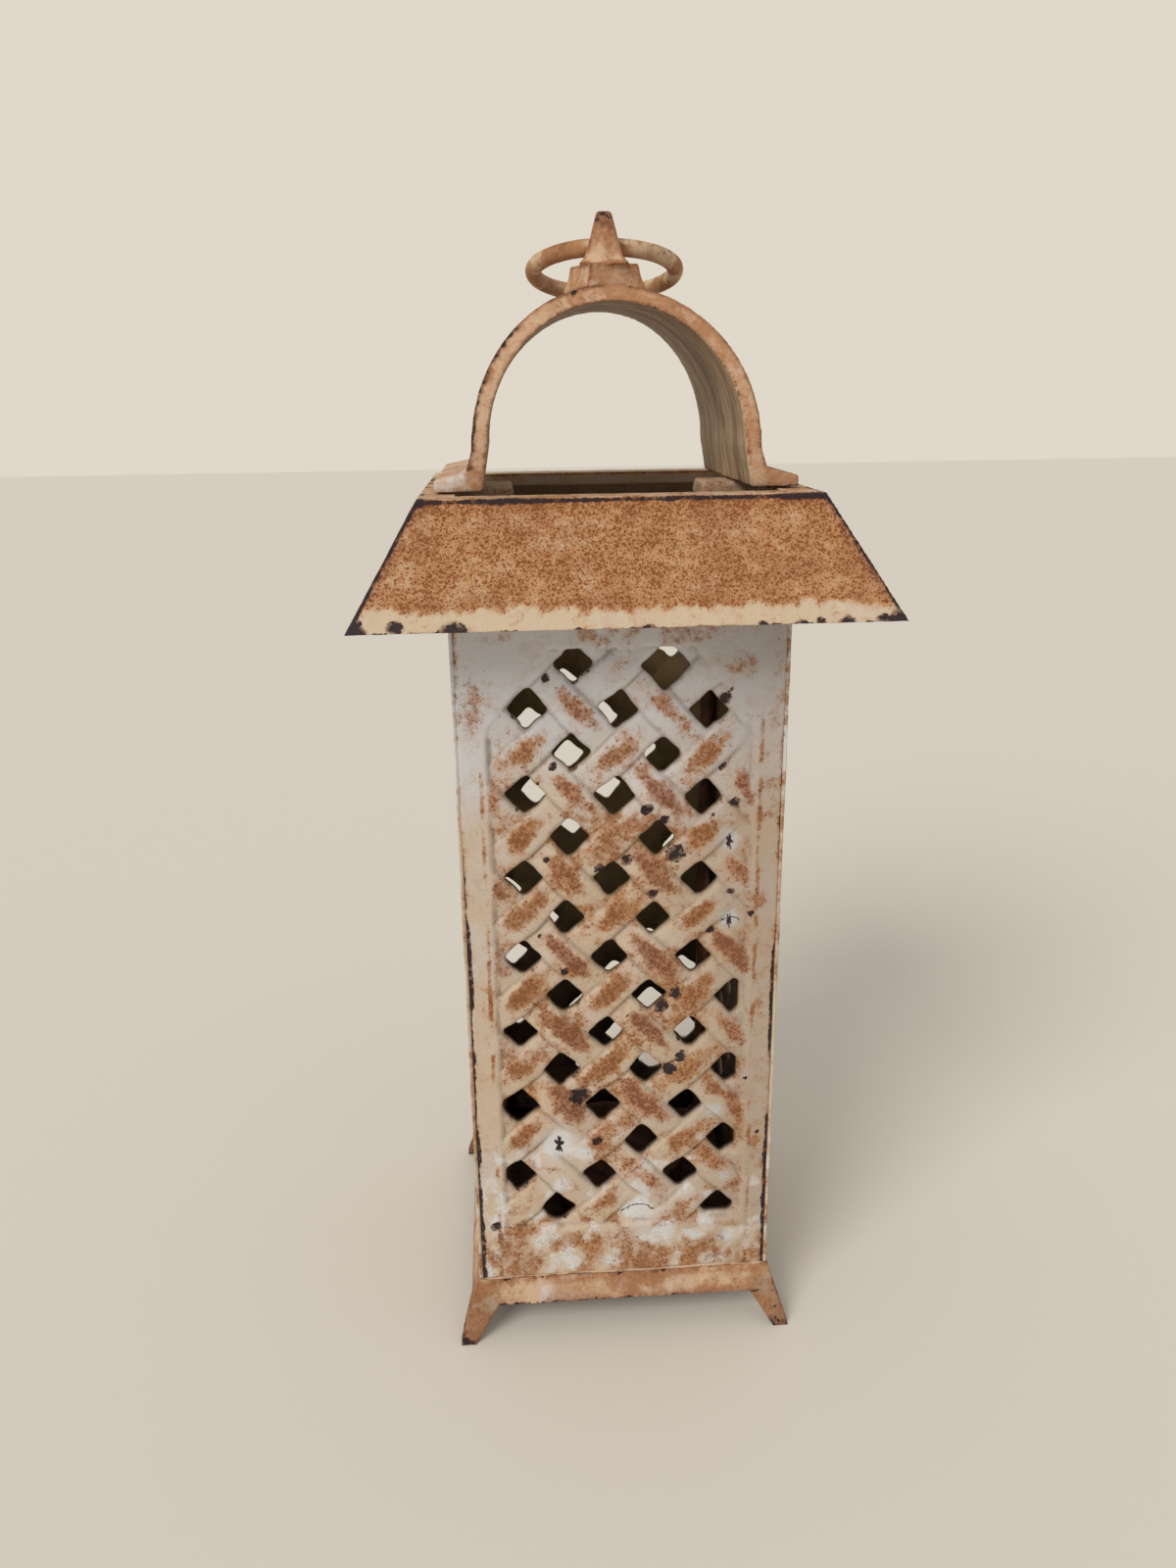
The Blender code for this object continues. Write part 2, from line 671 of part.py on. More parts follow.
def make_door(open_plate):
    axis = pivot("door_pivot", (HINGE_X, HINGE_Y, DOOR_FOOT))
    door = make_panel("door", open_plate, math.pi, FLAT_EDGE)
    wide = BODY_HALF + PAST
    cut(door, box("door_trim_low", (-wide, 0, 0), (wide, wide, DOOR_FOOT)))
    cut(door, box("door_trim_high", (-wide, 0, DOOR_TOP), (wide, wide, PANEL_TOP + PAST)))
    for number, middle in enumerate(HINGE_LEVELS):
        foot, top = knuckle_levels(middle)[1]
        leaf = box(f"door_leaf_{number}", (DOOR_EDGE - LEAF_REACH, BODY_HALF - LEAF_SINK, foot),
                   (DOOR_EDGE, BODY_HALF + LEAF_WALL, top))
        barrel, bore = knuckle(f"door_{number}", foot, top)
        join(door, leaf, barrel)
        cut(door, bore)
    cut(door, cylinder("latch_bore", LATCH_SHAFT_RADIUS + SHANK_PLAY, (LATCH_X, 0, LATCH_Z),
                       (LATCH_X, wide, LATCH_Z)))
    as_part(door, "door", PAINT)
    hang_on(door, axis)
    return axis


def make_hinge_pins():
    for name, middle in zip(("hinge_pin_lower", "hinge_pin_upper"), HINGE_LEVELS):
        levels = knuckle_levels(middle)
        foot, top = levels[0][0], levels[2][1]
        profile = [
            (0, top + FIT_GAP + PIN_HEAD_HEIGHT),
            (PIN_HEAD_RADIUS * HEAD_TAPER, top + FIT_GAP + PIN_HEAD_HEIGHT),
            (PIN_HEAD_RADIUS, top + FIT_GAP + PIN_HEAD_HEIGHT / 2),
            (PIN_HEAD_RADIUS, top + FIT_GAP),
            (PIN_RADIUS, top + FIT_GAP),
            (PIN_RADIUS, foot - PIN_END),
            (0, foot - PIN_END),
        ]
        pin = turned(name, profile, SMALL_STEPS)
        pin.location = (HINGE_X, HINGE_Y, 0)
        as_part(pin, name, DARK_IRON, 0.5, 0.6)


def make_latch(door_axis):
    axis = pivot("latch_pivot", (LATCH_X, BODY_HALF, LATCH_Z))
    hang_on(axis, door_axis)
    bpy.context.view_layer.update()
    tongue_back = INNER_HALF - FIT_GAP * 2 - KEEPER_WALL
    tongue_front = tongue_back - TONGUE_WALL
    stop = BODY_HALF + FIT_GAP
    ball = KNOB_REACH - KNOB_RADIUS
    rounds = [math.radians(turn) for turn in (55, 25, 0, -25, -50)]
    profile = [(0, stop + KNOB_REACH)]
    profile += [(KNOB_RADIUS * math.cos(turn), stop + ball + KNOB_RADIUS * math.sin(turn)) for turn in rounds]
    profile += [
        (KNOB_NECK, stop + KNOB_COLLAR * 2),
        (KNOB_NECK + KNOB_COLLAR, stop),
        (LATCH_SHAFT_RADIUS, stop),
        (LATCH_SHAFT_RADIUS, tongue_front - OVERLAP),
        (0, tongue_front - OVERLAP),
    ]
    knob = turned("latch_knob", profile, SMALL_STEPS)
    knob.matrix_world = Matrix.Translation((LATCH_X, 0, LATCH_Z)) @ Matrix.Rotation(-math.pi / 2, 4, "X")
    as_part(knob, "latch_knob", DARK_IRON, 0.5, 0.4)
    hang_on(knob, axis)

    tongue = box("latch_tongue", (LATCH_X - TONGUE_WIDTH / 2, tongue_front, LATCH_Z - TONGUE_WIDTH / 2),
                 (LATCH_X + TONGUE_LENGTH, tongue_back, LATCH_Z + TONGUE_WIDTH / 2))
    cut(tongue, cylinder("latch_tongue_bore", LATCH_SHAFT_RADIUS + SHANK_PLAY,
                         (LATCH_X, 0, LATCH_Z), (LATCH_X, BODY_HALF, LATCH_Z)))
    as_part(tongue, "latch_tongue", DARK_IRON, 0.5, 0.6)
    hang_on(tongue, axis)


# Plate on top of the panels, which carries the roof

def roof_half(z):
    """Outer half width of the roof at a level."""
    return EAVE_HALF - ROOF_RUN * (z - EAVE_Z)


PLATE_HALF = roof_half(PLATE_TOP) - ROOF_WALL_LEVEL - FIT_GAP


def make_top_plate():
    square = [(-PLATE_HALF, -PLATE_HALF), (PLATE_HALF, -PLATE_HALF), (PLATE_HALF, PLATE_HALF),
              (-PLATE_HALF, PLATE_HALF)]
    side, corner = INNER_HALF, INNER_HALF - PLATE_CORNER
    opening = [(side, -corner), (side, corner), (corner, side), (-corner, side),
               (-side, corner), (-side, -corner), (-corner, -side), (corner, -side)]
    plate = outline("top_plate", [square, opening], PLATE_FOOT, PLATE_TOP)
    header = box("plate_header", (-(INNER_HALF + FLAT_EDGE), INNER_HALF + FIT_GAP, DOOR_TOP + FIT_GAP),
                 (INNER_HALF + FLAT_EDGE, BODY_HALF, PLATE_FOOT + HEADER_SINK))
    join(plate, header)
    holes = bmesh.new()
    for sx, sy in QUARTERS:
        for half, radius in ((TIE_HALF, TIE_RADIUS), (BOSS_HALF, SCREW_RADIUS)):
            add_cylinder(holes, radius + SHANK_PLAY, (sx * half, sy * half, PLATE_FOOT - PAST),
                         (sx * half, sy * half, PLATE_TOP + PAST))
    cut(plate, mesh_object("plate_holes", holes))
    as_part(plate, "top_plate", PAINT)


def make_tie_rods():
    foot = BASE_HEIGHT - FLOOR_WALL - FIT_GAP
    nut_foot = PLATE_TOP + FIT_GAP
    end = nut_foot + NUT_HEIGHT + TIE_POINT
    for corner, (sx, sy) in zip(CORNER_NAMES, QUARTERS):
        profile = [
            (0, end),
            (TIE_RADIUS, end),
            (TIE_RADIUS, foot),
            (TIE_HEAD_RADIUS, foot),
            (TIE_HEAD_RADIUS, foot - TIE_HEAD_HEIGHT),
            (0, foot - TIE_HEAD_HEIGHT),
        ]
        rod = turned(f"tie_rod_{corner}", profile, SMALL_STEPS)
        rod.location = (sx * TIE_HALF, sy * TIE_HALF, 0)
        as_part(rod, f"tie_rod_{corner}", DARK_IRON, 0.5, 0.6)
        nut = make_nut(f"tie_rod_nut_{corner}", NUT_WIDTH, TIE_RADIUS + SHANK_PLAY,
                       (sx * TIE_HALF, sy * TIE_HALF, nut_foot), NUT_HEIGHT)
        as_part(nut, f"tie_rod_nut_{corner}", DARK_IRON, 0.5, 0.6)


# Roof casting: hollow hipped shell, rim, four bosses and two lugs that carry the handle

def make_roof():
    roof = frustum("roof_casting", EAVE_HALF, RIM_HALF, EAVE_Z, RIM_Z)
    rim_under = RIM_Z - RIM_WALL
    below = EAVE_Z - PAST
    hollow = frustum("roof_hollow", roof_half(below) - ROOF_WALL_LEVEL,
                     roof_half(rim_under) - ROOF_WALL_LEVEL, below, rim_under)
    boss_foot = PLATE_TOP + FIT_GAP
    for corner, (sx, sy) in zip(CORNER_NAMES, QUARTERS):
        cut(hollow, cylinder(f"roof_boss_{corner}", BOSS_RADIUS,
                             (sx * BOSS_HALF, sy * BOSS_HALF, boss_foot),
                             (sx * BOSS_HALF, sy * BOSS_HALF, rim_under + PAST)))
    cut(roof, hollow)
    chimney = box("roof_chimney", (-CHIMNEY_HALF, -CHIMNEY_HALF, rim_under - PAST),
                  (CHIMNEY_HALF, CHIMNEY_HALF, RIM_Z + PAST))
    lug_tip = CHIMNEY_HALF - LUG_REACH
    root = CHIMNEY_HALF + PAST
    low, high = rim_under - 2 * PAST, RIM_Z + 2 * PAST
    for side in (-1, 1):
        points = [(side * root, low), (side * (lug_tip - LUG_DRAFT), low),
                  (side * lug_tip, high), (side * root, high)]
        cut(chimney, outline(f"roof_lug_{side}", [points], -LUG_WIDTH / 2, LUG_WIDTH / 2, "Y"))
    cut(roof, chimney)
    holes = bmesh.new()
    for sx, sy in QUARTERS:
        add_cylinder(holes, SCREW_RADIUS + SHANK_PLAY, (sx * BOSS_HALF, sy * BOSS_HALF, boss_foot - PAST),
                     (sx * BOSS_HALF, sy * BOSS_HALF, boss_foot + ROOF_SCREW_GRIP + FIT_GAP))
        add_cylinder(holes, SCREW_RADIUS + SHANK_PLAY,
                     (sx * TAB_SCREW_X, sy * TAB_SCREW_SPREAD / 2, rim_under - PAST),
                     (sx * TAB_SCREW_X, sy * TAB_SCREW_SPREAD / 2, RIM_Z + PAST))
    cut(roof, mesh_object("roof_holes", holes))
    as_part(roof, "roof_casting", RUSTY_PAINT)


def make_screws(name, half_x, half_y, head_top, end):
    """Four screws driven upwards, with their heads below."""
    for corner, (sx, sy) in zip(CORNER_NAMES, QUARTERS):
        profile = [
            (0, end),
            (SCREW_RADIUS, end),
            (SCREW_RADIUS, head_top),
            (SCREW_HEAD_RADIUS, head_top),
            (SCREW_HEAD_RADIUS * HEAD_TAPER, head_top - SCREW_HEAD_HEIGHT),
            (0, head_top - SCREW_HEAD_HEIGHT),
        ]
        screw = turned(f"{name}_{corner}", profile, SMALL_STEPS)
        screw.location = (sx * half_x, sy * half_y, 0)
        as_part(screw, f"{name}_{corner}", DARK_IRON, 0.5, 0.6)


# Arched handle

def arch_points(grow, steps):
    """Points of the arch in X and Z from right to left, grown outwards by a thickness."""
    for step in range(steps + 1):
        angle = math.pi * step / steps
        yield ((SPAN_HALF + grow) * math.cos(angle),
               SPRING_Z + (HANDLE_RISE + grow) * math.sin(angle))


def handle_depth_half(z):
    """Half depth of the strap at a level: full on the legs, narrowing to the crown."""
    share = min(max((z - HANDLE_FOOT) / (CROWN_Z - HANDLE_FOOT), 0.0), 1.0)
    return (HANDLE_FOOT_DEPTH + (HANDLE_CROWN_DEPTH - HANDLE_FOOT_DEPTH) * share ** 3) / 2


def make_handle():
    tab_top = HANDLE_FOOT + TAB_WALL
    right_foot = [(LEG_IN, HANDLE_FOOT), (TAB_END, HANDLE_FOOT), (TAB_END, tab_top - TAB_SLOPE),
                  (LEG_OUT, tab_top + TAB_SLOPE)]
    left_foot = [(-x, z) for x, z in reversed(right_foot)]
    outer = list(arch_points(HANDLE_STRAP, ARCH_STEPS))
    inner = list(arch_points(0.0, ARCH_STEPS))
    points = right_foot + outer + left_foot + inner[::-1]
    reach = HANDLE_FOOT_DEPTH / 2
    handle = outline("arch_handle", [points], -reach, reach, "Y")
    height = CROWN_Z - HANDLE_FOOT
    levels = [HANDLE_FOOT + height * math.sqrt(step / TAPER_STEPS) for step in range(1, TAPER_STEPS + 1)]
    side = [(reach + PAST, HANDLE_FOOT - PAST), (reach + PAST, levels[0] - PAST)]
    side += [(handle_depth_half(z), z) for z in levels]
    side.append((handle_depth_half(CROWN_Z), CROWN_Z + PAST))
    silhouette = side + [(-y, z) for y, z in reversed(side)]
    envelope = outline("handle_envelope", [silhouette], -(TAB_END + PAST), TAB_END + PAST, "X")
    boolean(handle, envelope, "INTERSECT")
    holes = bmesh.new()
    add_cylinder(holes, FINIAL_SHANK_RADIUS + SHANK_PLAY, (0, 0, CROWN_UNDER - PAST),
                 (0, 0, CROWN_Z + PAST))
    for sx, sy in QUARTERS:
        add_cylinder(holes, SCREW_RADIUS + SHANK_PLAY,
                     (sx * TAB_SCREW_X, sy * TAB_SCREW_SPREAD / 2, HANDLE_FOOT - PAST),
                     (sx * TAB_SCREW_X, sy * TAB_SCREW_SPREAD / 2, HANDLE_FOOT + TAB_SCREW_GRIP + FIT_GAP))
    cut(handle, mesh_object("handle_holes", holes))
    as_part(handle, "arch_handle", PAINT)


# Finial: plinth seated on the crown, tapered tab with the ring's hole, and a shank

def finial_half(share):
    """Half width of the tab, at a share of its height from plinth to tip."""
    taper = FINIAL_TIP_WIDTH + (FINIAL_WIDTH - FINIAL_TIP_WIDTH) * (1 - share)
    return taper / 2 + FINIAL_FLARE * (1 - share) ** FLARE_POWER


def make_finial():
    plinth = frustum("finial", PLINTH_WIDTH / 2, PLINTH_TOP_WIDTH / 2, CROWN_UNDER, PLINTH_TOP)
    plinth.rotation_euler.z = PLINTH_TURN
    saddle = list(arch_points(HANDLE_STRAP + FIT_GAP, ARCH_STEPS * 2))
    saddle = [(x, z) for x, z in saddle if abs(x) < PLINTH_WIDTH]
    floor = CROWN_UNDER - PAST
    under = outline("finial_saddle", [saddle + [(-PLINTH_WIDTH, floor), (PLINTH_WIDTH, floor)]],
                    -PLINTH_WIDTH, PLINTH_WIDTH, "Y")
    diagonal = math.sqrt(2)
    profile = [(0, FINIAL_TOP), ((finial_half(1.0) - FINIAL_TIP_ROUND) * diagonal, FINIAL_TOP)]
    round_share = FINIAL_TIP_ROUND / FINIAL_RISE
    for step in range(FINIAL_STEPS + 1):
        share = (1 - round_share) * (1 - math.sqrt(step / FINIAL_STEPS))
        profile.append((finial_half(share) * diagonal, PLINTH_TOP + FINIAL_RISE * share))
    profile += [(finial_half(0) * diagonal, PLINTH_TOP - OVERLAP), (0, PLINTH_TOP - OVERLAP)]
    tab = turned("finial_tab", profile, 4, math.pi / 4)
    tab.scale.y = FINIAL_DEPTH_RATIO
    tab.rotation_euler.z = RING_TURN
    along = Vector((math.cos(RING_TURN), math.sin(RING_TURN), 0)) * PLINTH_WIDTH
    bore = cylinder("finial_bore", RING_WIRE / 2 + RING_PLAY, RING_PIVOT - along, RING_PIVOT + along)
    shank = cylinder("finial_shank", FINIAL_SHANK_RADIUS, (0, 0, CROWN_UNDER + FIT_GAP),
                     (0, 0, CROWN_Z + OVERLAP + PAST))
    cut(plinth, under)
    join(plinth, tab, shank)
    cut(plinth, bore)
    as_part(plinth, "finial", PAINT)


# Hanging ring, lying back on its hole in the finial

def make_ring():
    axis = pivot("ring_pivot", RING_PIVOT, RING_TURN)
    bpy.ops.mesh.primitive_torus_add(major_radius=RING_MAJOR, minor_radius=RING_WIRE / 2,
                                     major_segments=RING_STEPS, minor_segments=RING_SIDES)
    ring = bpy.context.active_object
    for owner in list(ring.users_collection):
        owner.objects.unlink(ring)
    CUTTERS.objects.link(ring)
    ring.parent = axis
    ring.location = (0, RING_MAJOR * math.cos(RING_TILT), -RING_MAJOR * math.sin(RING_TILT))
    ring.rotation_euler.x = -RING_TILT
    as_part(ring, "hanging_ring", PAINT)
    round_shading(ring)


def main():
    open_plate = lattice_plate("open", ())
    front_plate = lattice_plate("front", FLASHED_HOLES)
    make_base()
    make_cup()
    make_fixed_panels(open_plate.data, front_plate.data)
    door_axis = make_door(open_plate.data)
    make_latch(door_axis)
    make_hinge_pins()
    make_top_plate()
    make_tie_rods()
    make_roof()
    make_screws("roof_screw", BOSS_HALF, BOSS_HALF, PLATE_FOOT - FIT_GAP,
                PLATE_TOP + FIT_GAP + ROOF_SCREW_GRIP)
    make_handle()
    make_screws("handle_screw", TAB_SCREW_X, TAB_SCREW_SPREAD / 2, RIM_Z - RIM_WALL - FIT_GAP,
                HANDLE_FOOT + TAB_SCREW_GRIP)
    make_finial()
    make_ring()


main()
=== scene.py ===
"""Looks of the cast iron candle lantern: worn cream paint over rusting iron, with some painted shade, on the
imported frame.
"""

import math

import bmesh
import bpy
import numpy as np
from mathutils import Matrix, Vector, geometry


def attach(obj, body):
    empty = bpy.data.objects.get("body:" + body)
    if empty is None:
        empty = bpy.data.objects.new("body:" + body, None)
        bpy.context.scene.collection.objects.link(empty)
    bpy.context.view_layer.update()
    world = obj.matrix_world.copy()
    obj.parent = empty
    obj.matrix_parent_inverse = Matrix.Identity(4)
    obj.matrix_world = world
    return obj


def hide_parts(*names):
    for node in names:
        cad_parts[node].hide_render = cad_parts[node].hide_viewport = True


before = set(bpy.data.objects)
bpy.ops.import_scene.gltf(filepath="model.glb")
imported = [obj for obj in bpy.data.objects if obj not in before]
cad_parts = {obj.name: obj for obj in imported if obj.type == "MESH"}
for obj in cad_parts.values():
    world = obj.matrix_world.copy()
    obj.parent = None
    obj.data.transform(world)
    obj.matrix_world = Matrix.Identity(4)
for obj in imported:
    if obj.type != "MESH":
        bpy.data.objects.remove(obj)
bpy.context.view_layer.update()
MM = 0.001

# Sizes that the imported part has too, in mm
BODY_HALF = 41.6
INNER_HALF = 37.6
BASE_TOP = 17.7
PANEL_FOOT, PANEL_TOP = 18.0, 212.0
DOOR_FOOT, DOOR_TOP = 18.3, 208.5
FLAT_END = 40.6           # half width of the front and the door at their outer face
NOSE_END = 41.6           # the same of the side panels
MITRE_FLAT = -1.0         # how much wider than the room inside a panel's inner face is, on each side
MITRE_NOSED = 0.576
WINDOW_HALF = 33.4
WINDOW_FOOT, WINDOW_TOP = 33.5, 200.7
CORNER_WIDE, CORNER_HIGH = 15.9, 20.0
RECESS = 1.5
ARCH = 1.6
CROWN = 0.1
STEP_X, STEP_Z = 11.35, 11.24
PITCH = math.hypot(STEP_X, STEP_Z)
STRAND_SLOPE = math.atan2(STEP_Z, STEP_X)
HOLE_SIDE = 7.6
STRAND_HALF = (PITCH - HOLE_SIDE) / 2
GRID_X, GRID_Z = -3.6, 117.2
GRID_TURN = math.radians(-2.5)
FLASHED = ((-1, -5), (1, -7))
EAVE_HALF, EAVE_HEIGHT = 63.25, 209.1
RIM_HALF, RIM_HEIGHT = 47.0, 236.66
SPAN_HALF, ARCH_FOOT, ARCH_RISE, STRAP = 30.3, 246.26, 33.0, 4.1
HANDLE_FOOT, CROWN_TOP = 236.96, 283.36
FOOT_DEPTH, CROWN_DEPTH = 68.0, 37.0
LEG_IN, TAB_OUT = 31.9, 43.6
RING_HEIGHT, RING_MAJOR, WIRE = 293.26, 18.8, 2.2
RING_TILT, RING_TURN = math.radians(-12.6), math.radians(-5.0)
HINGE, KNUCKLE_RADIUS = (42.2, 44.6), 2.6
HINGE_HEIGHTS, KNUCKLE_STEP, KNUCKLE_HIGH = (48.3, 174.5), 6.3, 6.0


# Noise and patterns

def noise(points, size, seed=0):
    """Smooth noise from 0 to 1 at points in mm, with features about size mm across."""
    p = np.asarray(points, float) / size + 211.3 + 7.7 * seed
    cell = np.floor(p).astype(np.int64)
    f = p - cell
    f = f * f * f * (f * (f * 6 - 15) + 10)
    total = np.zeros(len(p))
    for corner in range(8):
        weight = np.ones(len(p))
        mixed = np.full(len(p), seed * 1442695041, np.int64)
        for axis, prime in enumerate((374761393, 668265263, 1103515245)):
            step = (corner >> axis) & 1
            weight *= f[:, axis] if step else 1 - f[:, axis]
            mixed = mixed + (cell[:, axis] + step) * prime
        mixed = ((mixed ^ (mixed >> 13)) * 1274126177) & 0xFFFFFFFF
        mixed = (mixed ^ (mixed >> 16)) & 0xFFFF
        total += weight * mixed / 65535.0
    return total


def clouds(points, size, seed=0, octaves=3):
    """Layered noise from 0 to 1."""
    total, weight, reach = 0.0, 1.0, 0.0
    for octave in range(octaves):
        total = total + weight * noise(points, size / 2 ** octave, seed + 31 * octave)
        reach += weight
        weight *= 0.5
    return total / reach


def ease(value, low, high):
    """0 under low, 1 over high and smooth between."""
    share = np.clip((value - low) / (high - low), 0, 1)
    return share * share * (3 - 2 * share)


def patches(points, size, seed, low, high):
    """Clouds with an edge: 0 where they are under low and 1 where they are over high."""
    return ease(clouds(points, size, seed), low, high)


def most(first, *others):
    """The greatest of several values at each point."""
    for other in others:
        first = np.maximum(first, other)
    return first


def turned(x, y, angle):
    """A place turned about the origin."""
    c, s = math.cos(angle), math.sin(angle)
    return c * x - s * y, s * x + c * y


def spot(u, v, at, radius, stretch=1.0, turn=0.0):
    """1 at a place and 0 at radius away from it."""
    a, b = turned(u - at[0], v - at[1], -turn)
    return np.clip(1 - np.hypot(a / stretch, b) / radius, 0, 1)


def spots(u, v, places, grow, stretch=1.0, turn=0.0):
    """The greatest of the spots at several places, each with its radius, which grow is multiplied into."""
    return most(*(spot(u, v, at, radius * grow, stretch, turn) for at, radius in places))


# Shader graphs

def srgb(red, green, blue):
    """A display colour from 0 to 255 as the linear colour that Blender takes."""
    def linear(value):
        value /= 255
        return value / 12.92 if value <= 0.04045 else ((value + 0.055) / 1.055) ** 2.4
    return (linear(red), linear(green), linear(blue), 1.0)


class Graph:
    """A node material that is built up by small calls."""

    def __init__(self, name):
        self.material = bpy.data.materials.new(name)
        self.material.use_nodes = True
        self.nodes = self.material.node_tree.nodes
        self.links = self.material.node_tree.links
        self.nodes.clear()
        self.shader = self.node("BsdfPrincipled")
        self.node("OutputMaterial", Surface=self.shader.outputs["BSDF"])
        self.place = self.node("TexCoord").outputs["Object"]

    def put(self, value, socket):
        if isinstance(value, bpy.types.NodeSocket):
            self.links.new(value, socket)
        else:
            socket.default_value = value

    def node(self, kind, **inputs):
        """A new node with values or links at its inputs, which are named with _ for a space."""
        made = self.nodes.new("ShaderNode" + kind)
        for name, value in inputs.items():
            self.put(value, made.inputs[name.replace("_", " ")])
        return made

    def surface(self, name, value):
        """Set an input of the shader."""
        self.put(value, self.shader.inputs[name])

    def math(self, operation, first, second=0.0):
        node = self.node("Math")
        node.operation = operation
        self.put(first, node.inputs[0])
        self.put(second, node.inputs[1])
        return node.outputs[0]

    def add(self, *values):
        total = values[0]
        for value in values[1:]:
            total = self.math("ADD", total, value)
        return total

    def times(self, first, second):
        return self.math("MULTIPLY", first, second)

    def sway(self, value, share):
        """A value from 0 to 1 as a change up or down, of half the share at most."""
        return self.times(self.add(value, -0.5), share)

    def step(self, value, low, high, to_low=0.0, to_high=1.0):
        node = self.node("MapRange", Value=value, From_Min=low, From_Max=high, To_Min=to_low, To_Max=to_high)
        node.interpolation_type = "SMOOTHSTEP"
        return node.outputs["Result"]

    def mix(self, share, first, second):
        node = self.node("Mix")
        node.data_type = "RGBA"
        self.put(share, node.inputs[0])
        self.put(first, node.inputs[6])
        self.put(second, node.inputs[7])
        return node.outputs[2]

    def attribute(self, name):
        node = self.node("Attribute")
        node.attribute_name = name
        return node.outputs["Fac"]

    def axes(self):
        """The three numbers of a place, in metres."""
        return self.node("SeparateXYZ", Vector=self.place).outputs

    def stretched(self, scale):
        return self.node("Mapping", Vector=self.place, Scale=scale).outputs["Vector"]

    def noise(self, size, detail=3.0, rough=0.5, bent=0.0, place=None):
        """Noise of features about size mm across."""
        return self.node("TexNoise", Vector=place or self.place, Scale=1 / (size * MM), Detail=detail,
                         Roughness=rough, Distortion=bent).outputs["Fac"]

    def cells(self, size):
        """Cells about size mm across: a shade for each, and the distance from its middle."""
        node = self.node("TexVoronoi", Vector=self.place, Scale=1 / (size * MM))
        return node.outputs["Color"], node.outputs["Distance"]

    def bump(self, height, depth):
        """Bumps depth mm high where height goes from 0 to 1."""
        node = self.node("Bump", Distance=depth * MM, Height=height)
        self.surface("Normal", node.outputs["Normal"])


CREAM = srgb(208, 186, 160)
CREAM_COOL = srgb(214, 214, 216)
CREAM_PALE = srgb(221, 220, 218)
PEACH = srgb(198, 152, 118)
RUST_LIGHT = srgb(176, 122, 72)
RUST_PINK = srgb(172, 118, 92)
RUST = srgb(134, 80, 40)
RUST_RED = srgb(108, 58, 44)
RUST_DEEP = srgb(84, 50, 38)
IRON = srgb(34, 29, 34)
# Painted shade inside the lantern, lighter high up where light comes in at the top
INNER_SHADE_HIGH = srgb(142, 120, 82)
INNER_SHADE_LOW = srgb(66, 48, 34)
# A brown for painted shade in the lattice's creases and for grime
SHADE_AND_GRIME = srgb(128, 108, 88)


def brown_streaks(g):
    """The colour of the strap's inner side, with streaks and splits along it."""
    along = g.stretched((0.1, 1.0, 0.1))
    grain = g.step(g.noise(1.7, 4.0, 0.7, 1.4, along), 0.36, 0.62)
    wide = g.step(g.noise(6.0, 3.0, 0.6, 0.8, along), 0.38, 0.62)
    streaks = g.add(g.times(grain, 0.55), g.times(wide, 0.45))
    split = g.step(g.noise(2.6, 4.0, 0.6, 1.0, g.stretched((0.05, 1.0, 0.05))), 0.30, 0.36, 1.0, 0.0)
    return g.mix(g.times(split, 0.7), g.mix(streaks, srgb(124, 86, 56), srgb(216, 188, 150)), RUST_DEEP)


def cracks(g, stars, arcs, wander):
    """A mask of the cracks in the front's paint: stars, and thin arcs along the upper part of ovals.

    Each is given by its place, (across, height), and its radius, in mm, and a star by its turn too.
    """
    x, y, z = g.axes()

    def oval(place, radius, narrow, flat):
        across = g.times(g.add(x, -place[0] * MM), narrow / (radius * MM))
        rise = g.times(g.add(z, -place[1] * MM), flat / (radius * MM))
        return across, rise, g.math("SQRT", g.add(g.times(across, across), g.times(rise, rise)))

    found = 0.0
    for place, radius, turn in stars:
        across, rise, away = oval(place, radius, 2.1, 0.8)
        angle = g.math("ARCTAN2", rise, across)
        for points, shift, reach in ((5.0, turn, 0.2), (7.0, 2 * turn, 0.24)):
            wave = g.math("SINE", g.add(g.times(angle, points), shift))
            away = g.add(away, g.times(wave, -reach))
        found = g.math("MAXIMUM", found, g.step(away, 0.65, 1.05, 1.0, 0.0))
    for place, radius in arcs:
        _, rise, away = oval(place, radius, 1.0, 1.7)
        line = g.math("ABSOLUTE", g.add(away, -1.0, g.sway(wander, 0.2)))
        thin = g.times(g.step(line, 0.03, 0.09, 1.0, 0.0), g.step(rise, 0.1, 0.4))
        found = g.math("MAXIMUM", found, thin)
    return g.times(found, g.step(y, -0.040, -0.039, 1.0, 0.0))


